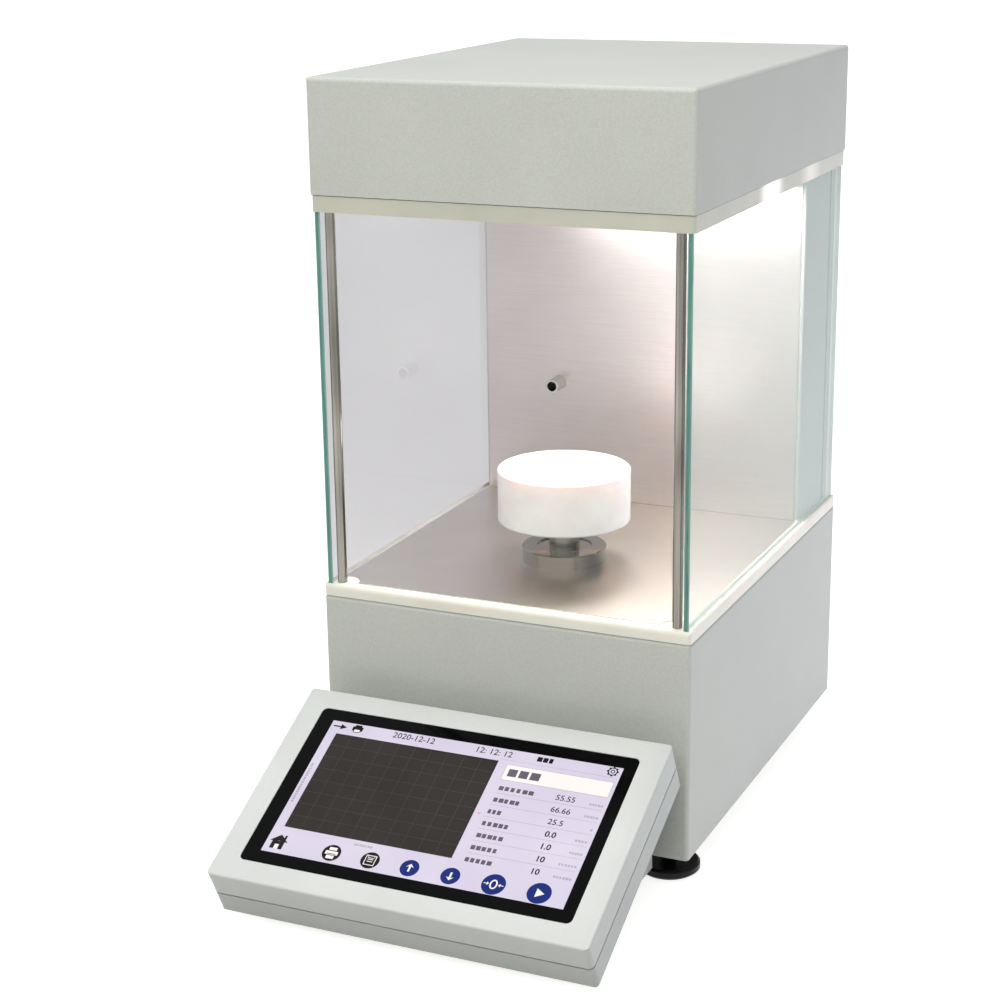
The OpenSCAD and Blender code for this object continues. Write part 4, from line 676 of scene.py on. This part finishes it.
# the panel's lower front edge in millimetres, from the glass's lowest corner
glassTop, glassStart = screenPlan["glassTop"], screenPlan["glassStart"]
glassEnd = glassStart + screenPlan["glassRun"]
panelStart = (
    glassLow.y * 1000 - glassStart * math.cos(tilt) + glassTop * math.sin(tilt),
    glassHigh.z * 1000 - glassEnd * math.sin(tilt) - glassTop * math.cos(tilt),
)
print("panel starts at", [round(v, 3) for v in panelStart])


# points of the panel's plane to the room's frame: turned up by the tilt about the
# panel's lower edge
def onPanel(flat, layer):
    flat = np.asarray(flat, float)
    high = glassTop + screenPlan["lift"] + layer * screenPlan["layer"]
    points = np.zeros((len(flat), 3))
    points[:, 0] = flat[:, 0]
    points[:, 1] = panelStart[0] + flat[:, 1] * math.cos(tilt) - high * math.sin(tilt)
    points[:, 2] = panelStart[1] + flat[:, 1] * math.sin(tilt) + high * math.cos(tilt)
    return points / 1000.0


# a closed outline filled from its own middle
def filled(outline):
    outline = np.asarray(outline, float)
    middle = outline.mean(axis=0, keepdims=True)
    return np.concatenate([outline, middle]), fanFaces(len(outline))


# a rectangle from the places of its four sides
def rectangle(left, low, right, high):
    return filled([(left, low), (right, low), (right, high), (left, high)])


# a circle's points: one radius for every angle
def circle(across, high, radius, steps):
    angle = np.linspace(0.0, 2 * math.pi, steps, endpoint=False)
    return np.stack([across + radius * np.cos(angle),
                     high + radius * np.sin(angle)], axis=-1)


# a line of some width: each point moved to both sides along the path's own normal
def stroke(path, width, closed=False):
    path = np.asarray(path, float)
    if closed:
        ahead = np.roll(path, -1, axis=0) - np.roll(path, 1, axis=0)
    else:
        ahead = np.gradient(path, axis=0)
    ahead /= np.linalg.norm(ahead, axis=1, keepdims=True)
    normal = np.stack([-ahead[:, 1], ahead[:, 0]], axis=-1) * width / 2
    count = len(path)
    here = np.arange(count if closed else count - 1)
    after = (here + 1) % count
    faces = np.stack([here + count, after + count, after, here], axis=-1)
    return np.concatenate([path + normal, path - normal]), faces


# digits as flat faces, centred on a point, from the built-in font
def digits(text, across, high, size, weight=0.03):
    curve = bpy.data.curves.new("digits", "FONT")
    curve.body = text
    curve.size = size
    curve.align_x = "CENTER"
    curve.align_y = "CENTER"
    curve.offset = weight
    curve.resolution_u = 3
    holder = bpy.data.objects.new("digits", curve)
    scene.collection.objects.link(holder)
    bpy.context.view_layer.update()
    shaped = holder.evaluated_get(bpy.context.evaluated_depsgraph_get())
    mesh = bpy.data.meshes.new_from_object(shaped)
    points = np.zeros(len(mesh.vertices) * 3)
    mesh.vertices.foreach_get("co", points)
    mesh.calc_loop_triangles()
    corners = np.zeros(len(mesh.loop_triangles) * 3, np.int32)
    mesh.loop_triangles.foreach_get("vertices", corners)
    bpy.data.objects.remove(holder)
    bpy.data.meshes.remove(mesh)
    bpy.data.curves.remove(curve)
    return points.reshape(-1, 3)[:, :2] + (across, high), corners.reshape(-1, 3)


wordPlan = {
    "pitch": 1.15,  # from block to block, in heights
    "fill": 0.86,  # the widest block's share of its pitch
    "narrowest": 0.7,  # the narrowest block, as a share of the widest
}


# a word's place: blocks of uneven width in a row, as a bare layout shows them
def wordBars(start, high, width, tall, seed):
    count = max(1, round(width / (tall * wordPlan["pitch"])))
    share = np.random.default_rng(seed).uniform(wordPlan["narrowest"], 1.0, count)
    step = width / count
    lefts = start + np.arange(count) * step
    rights = lefts + step * share * wordPlan["fill"]
    return [rectangle(left, high - tall / 2, right, high + tall / 2)
            for left, right in zip(lefts, rights)]


# shapes of one colour become one piece, each shape at its own layer
def addPicture(name, shapes, material):
    parts = []
    for (flat, faces), layer in shapes:
        size = len(faces[0])
        corners = np.asarray(flat)[np.asarray(faces)]
        ahead = corners[:, 1] - corners[:, 0]
        across = corners[:, size - 1] - corners[:, 0]
        area = ahead[:, 0] * across[:, 1] - ahead[:, 1] * across[:, 0]
        faces = np.where(area[:, None] < 0, np.asarray(faces)[:, ::-1], faces)  # all up
        parts.append((onPanel(flat, layer), faces, 0))
    picture = addMesh(name, "housing", parts, [material])


# shapes paired with the number of their layer
def atLayer(layer, shapes):
    return [(shape, layer) for shape in shapes]


lavender = litScreen("backlitDisplay", "#ddd4ea", "#e4ddef", 0.62)
plotDark = litScreen("displayPlotArea", "#373330", "#3d3937", 0.62)
plotLine = litScreen("displayPlotLines", "#4a4644", "#524e4c", 0.65)
inkDark = litScreen("displayInk", "#1c1a1c", "#262326", 0.8)
inkSoft = litScreen("displaySoftInk", "#5c5560", "#6a6370", 0.8)
inkLine = litScreen("displayRule", "#a79fae", "#b3acba", 0.8)
navy = litScreen("displayNavy", "#1c2a6b", "#22317a", 0.9)
paper = litScreen("displayWhite", "#f5efec", "#faf5f2", 0.72)
accent = litScreen("displayRed", "#d98aa0", "#e59ab0", 0.8)

# the background, and the plot with its grid
addPicture("screenBackground", atLayer(0, [rectangle(*screenPlan["screen"])]), lavender)
addPicture("screenPlot", atLayer(1, [rectangle(*screenPlan["graph"])]), plotDark)
left, low, right, high = screenPlan["graph"]
columns = np.linspace(left, right, screenPlan["graphColumns"] + 1)[1:-1]
rows = np.linspace(low, high, screenPlan["graphRows"] + 1)[1:-1]
gridLines = [[(at, low), (at, high)] for at in columns]
gridLines += [[(left, at), (right, at)] for at in rows]
addPicture("screenPlotLines",
           atLayer(2, [stroke(line, screenPlan["graphLine"]) for line in gridLines]),
           plotLine)

# the name field and the rule over it
left, low, right, high = screenPlan["field"]
fieldOutline = roundedOutline(right - left, high - low, screenPlan["fieldCorner"])
fieldOutline = fieldOutline + ((left + right) / 2, (low + high) / 2)
white = atLayer(1, [filled(fieldOutline)])
ruleLeft, ruleRight, ruleHigh = screenPlan["headerRule"]
rules = atLayer(2, [stroke(fieldOutline, screenPlan["fieldLine"], closed=True)])
rules += atLayer(1, [stroke([(ruleLeft, ruleHigh), (ruleRight, ruleHigh)],
                            screenPlan["headerLine"])])

# the list: digits for its values, and short plain bars where its words would be
bars, softBars, ink = [], [], []
rowCount = len(screenPlan["values"])
for row in range(rowCount):
    valueHigh = screenPlan["valueFirst"] - row * screenPlan["valueStep"]
    ink += atLayer(1, [digits(screenPlan["values"][row],
                              screenPlan["valueAcross"] + screenPlan["valueDrift"] * row,
                              valueHigh,
                              screenPlan["valueSize"], screenPlan["valueWeights"][row])])
    bars += atLayer(1, wordBars(screenPlan["rowLeft"] + screenPlan["labelInset"],
                                valueHigh - screenPlan["labelDrop"],
                                screenPlan["labelWidths"][row],
                                screenPlan["labelTall"], row))
    unit = screenPlan["unitWidths"][row]
    unitLeft = screenPlan["rowRight"] + screenPlan["unitOutset"] - unit
    softBars += atLayer(1, wordBars(unitLeft, valueHigh - screenPlan["unitDrop"], unit,
                                    screenPlan["smallTall"], 20 + row))
for row in range(rowCount - 1):
    ruleHigh = screenPlan["rowFirst"] - row * screenPlan["rowStep"]
    rule = [(screenPlan["rowLeft"], ruleHigh),
            (screenPlan["rowRight"], ruleHigh + screenPlan["ruleRise"])]
    rules += atLayer(1, [stroke(rule, screenPlan["rowLine"])])
bars += atLayer(2, wordBars(*screenPlan["fieldWord"], 40))
ink += atLayer(1, wordBars(*screenPlan["headerWord"], 41))
softBars += atLayer(1, wordBars(*screenPlan["lowWord"], 42))
across, high, width, tall = screenPlan["sideWord"]
quarterTurn = np.array([[0.0, -1.0], [1.0, 0.0]])
softBars += atLayer(1, [(flat @ quarterTurn + (across, high), faces)
                        for flat, faces in wordBars(0.0, 0.0, width, tall, 43)])
for values in screenPlan["dateAndTime"]:
    ink += atLayer(1, [digits(*values)])

# header signs: a plain arrow, a printer, a cog
x, y = screenPlan["arrowSign"]
ink += atLayer(1, [stroke([(x, y), (x + 4.5, y)], 0.8),
                   filled([(x + 4.1, y + 1.7), (x + 4.1, y - 1.7), (x + 7.5, y)])])
x, y = screenPlan["printerSign"]
ink += atLayer(1, [filled(roundedOutline(5.8, 3.0, 0.7) + (x, y)),
                   rectangle(x - 1.8, y + 1.3, x + 1.8, y + 2.5),
                   rectangle(x - 1.8, y - 2.4, x + 1.8, y - 1.2)])
white += atLayer(2, [rectangle(x - 1.5, y - 2.0, x + 1.5, y - 0.5)])
x, y = screenPlan["cogSign"]
ink += atLayer(1, [stroke(circle(x, y, 2.2, 32), 0.6, closed=True),
                   stroke(circle(x, y, 0.9, 24), 0.45, closed=True)])
for turn in np.radians(np.arange(0, 360, 45)):
    tooth = np.array([math.cos(turn), math.sin(turn)])
    ink += atLayer(1, [stroke([tooth * 2.1 + (x, y), tooth * 3.0 + (x, y)], 0.9)])

# lower signs: a house, then two dark and four blue buttons with white signs
x, y = screenPlan["houseSign"]
ink += atLayer(1, [filled([(x - 4.9, y), (x, y + 4.2), (x + 4.9, y), (x, y + 0.4)]),
                   rectangle(x - 3.3, y - 4.4, x + 3.3, y + 0.3),
                   rectangle(x + 2.1, y + 1.6, x + 3.3, y + 4.0)])
signs = [rectangle(x - 1.1, y - 4.4, x + 1.1, y - 1.6)]
button = screenPlan["buttonAcross"]
y = screenPlan["buttonHigh"]
small, large = screenPlan["smallButton"], screenPlan["largeButton"]
darkDiscs = [filled(circle(button[name], y, small, 40)) for name in ("printer", "save")]
blueDiscs = [filled(circle(button[name], y, radius, 40)) for name, radius in
             (("up", small), ("down", small), ("tare", large), ("play", large))]

x = button["printer"]
signs += [filled(roundedOutline(6.6, 2.2, 0.5) + (x, y)),
          rectangle(x - 2.0, y + 1.6, x + 2.0, y + 3.3),
          rectangle(x - 2.0, y - 3.4, x + 2.0, y - 1.5)]
darkMarks = [rectangle(x - 2.4, y - 0.75, x + 2.4, y - 0.35)]
x = button["save"]
sheet = np.array([(-2.6, -2.7), (2.6, -2.7), (2.6, 2.7), (-2.6, 2.7)])
flap = np.array([(-1.6, 2.4), (-1.6, 1.4), (1.6, 1.4), (1.6, 2.4)])
signs += [stroke(sheet + (x, y), 0.55, closed=True),
          stroke([(x - 1.5, y + 0.5), (x + 1.5, y + 0.5)], 0.4),
          stroke([(x - 1.5, y - 0.7), (x + 1.5, y - 0.7)], 0.4),
          stroke(flap + (x, y), 0.35)]
for x, way in ((button["up"], 1), (button["down"], -1)):
    signs += [stroke([(x, y - way * 2.1), (x, y + way * 1.2)], 1.0),
              filled([(x - 2.0, y + way * 0.5), (x, y + way * 2.5),
                      (x + 2.0, y + way * 0.5), (x, y + way * 1.2)])]
x = button["tare"]
oval = circle(0.0, 0.0, 1.0, 32) * (1.55, 2.35) + (x, y)
signs += [stroke(oval, 0.75, closed=True)]
for way in (-1, 1):
    signs += [stroke([(x + way * 5.0, y), (x + way * 3.2, y)], 0.4),
              filled([(x + way * 3.4, y + 1.0), (x + way * 2.3, y),
                      (x + way * 3.4, y - 1.0)])]
x = button["play"]
signs += [filled([(x - 1.6, y + 2.5), (x - 1.6, y - 2.5), (x + 2.6, y)])]

addPicture("screenWhite", white, paper)
addPicture("screenRules", rules, inkLine)
addPicture("screenInk", ink, inkDark)
addPicture("screenLabels", bars, inkSoft)
addPicture("screenSmallLabels", softBars, inkLine)
addPicture("screenDarkButtons", atLayer(1, darkDiscs), inkDark)
addPicture("screenBlueButtons", atLayer(1, blueDiscs), navy)
addPicture("screenSigns", atLayer(2, signs), paper)
addPicture("screenMarks", atLayer(3, darkMarks), inkDark)
x, y = screenPlan["graphMark"]
addPicture("screenAccent",
           atLayer(1, [filled([(x - 0.9, y), (x + 0.9, y), (x, y - 1.3)])]), accent)
print("touch panel's picture laid")


floorPlan = {
    "reach": 25.0,
    "level": -0.0002,  # just under the feet, so that the faces don't share a plane
    "dark": "#b2b2b0", "light": "#b6b6b4", "cloud": 300.0,
    "tint": "#f6f6f4",
    "glow": 0.08,  # what lights the object from below
    "shine": 0.90,  # what the eye and mirrors see, as a white sweep gives
    "behindGlass": 0.42,  # what shows through a pane
}


# matt white paper sweep: even and pale, with no grain that shows; it looks bright to the
# eye and to mirrors, and less so behind a pane
def paperSweep(name, plan):
    material, tree, place = startMaterial(name)
    ray = addNode(tree, "ShaderNodeLightPath").outputs
    seen = addNode(tree, "ShaderNodeMath", {}, {
        0: ray["Is Camera Ray"], 1: ray["Is Glossy Ray"]}, operation="MAXIMUM")
    bright = addNode(tree, "ShaderNodeMapRange",
                     {"To Min": plan["shine"], "To Max": plan["behindGlass"]},
                     {"Value": ray["Transparent Depth"]}).outputs["Result"]
    level = addNode(tree, "ShaderNodeMapRange", {"To Min": plan["glow"]},
                    {"Value": seen.outputs[0], "To Max": bright}).outputs["Result"]
    cloud = grain(tree, place, plan["cloud"])
    shader = addNode(tree, "ShaderNodeBsdfPrincipled",
                     {"Roughness": 0.6, "Specular IOR Level": 0.2,
                      "Emission Color": linearColour(plan["tint"])},
                     {"Base Color": twoTone(tree, cloud, plan["dark"], plan["light"]),
                      "Emission Strength": level})
    return endMaterial(material, shader)


floorMesh = bpy.data.meshes.new("studioFloor")
floorCorners = np.full((4, 3), floorPlan["level"])
floorCorners[:, :2] = np.array([(-1, -1), (1, -1), (1, 1), (-1, 1)]) * floorPlan["reach"]
floorMesh.from_pydata(floorCorners.tolist(), [], [(0, 1, 2, 3)])
floorMesh.materials.append(paperSweep("paleStudioFloor", floorPlan))
studioFloor = bpy.data.objects.new("studioFloor", floorMesh)
scene.collection.objects.link(studioFloor)
print("floor laid")
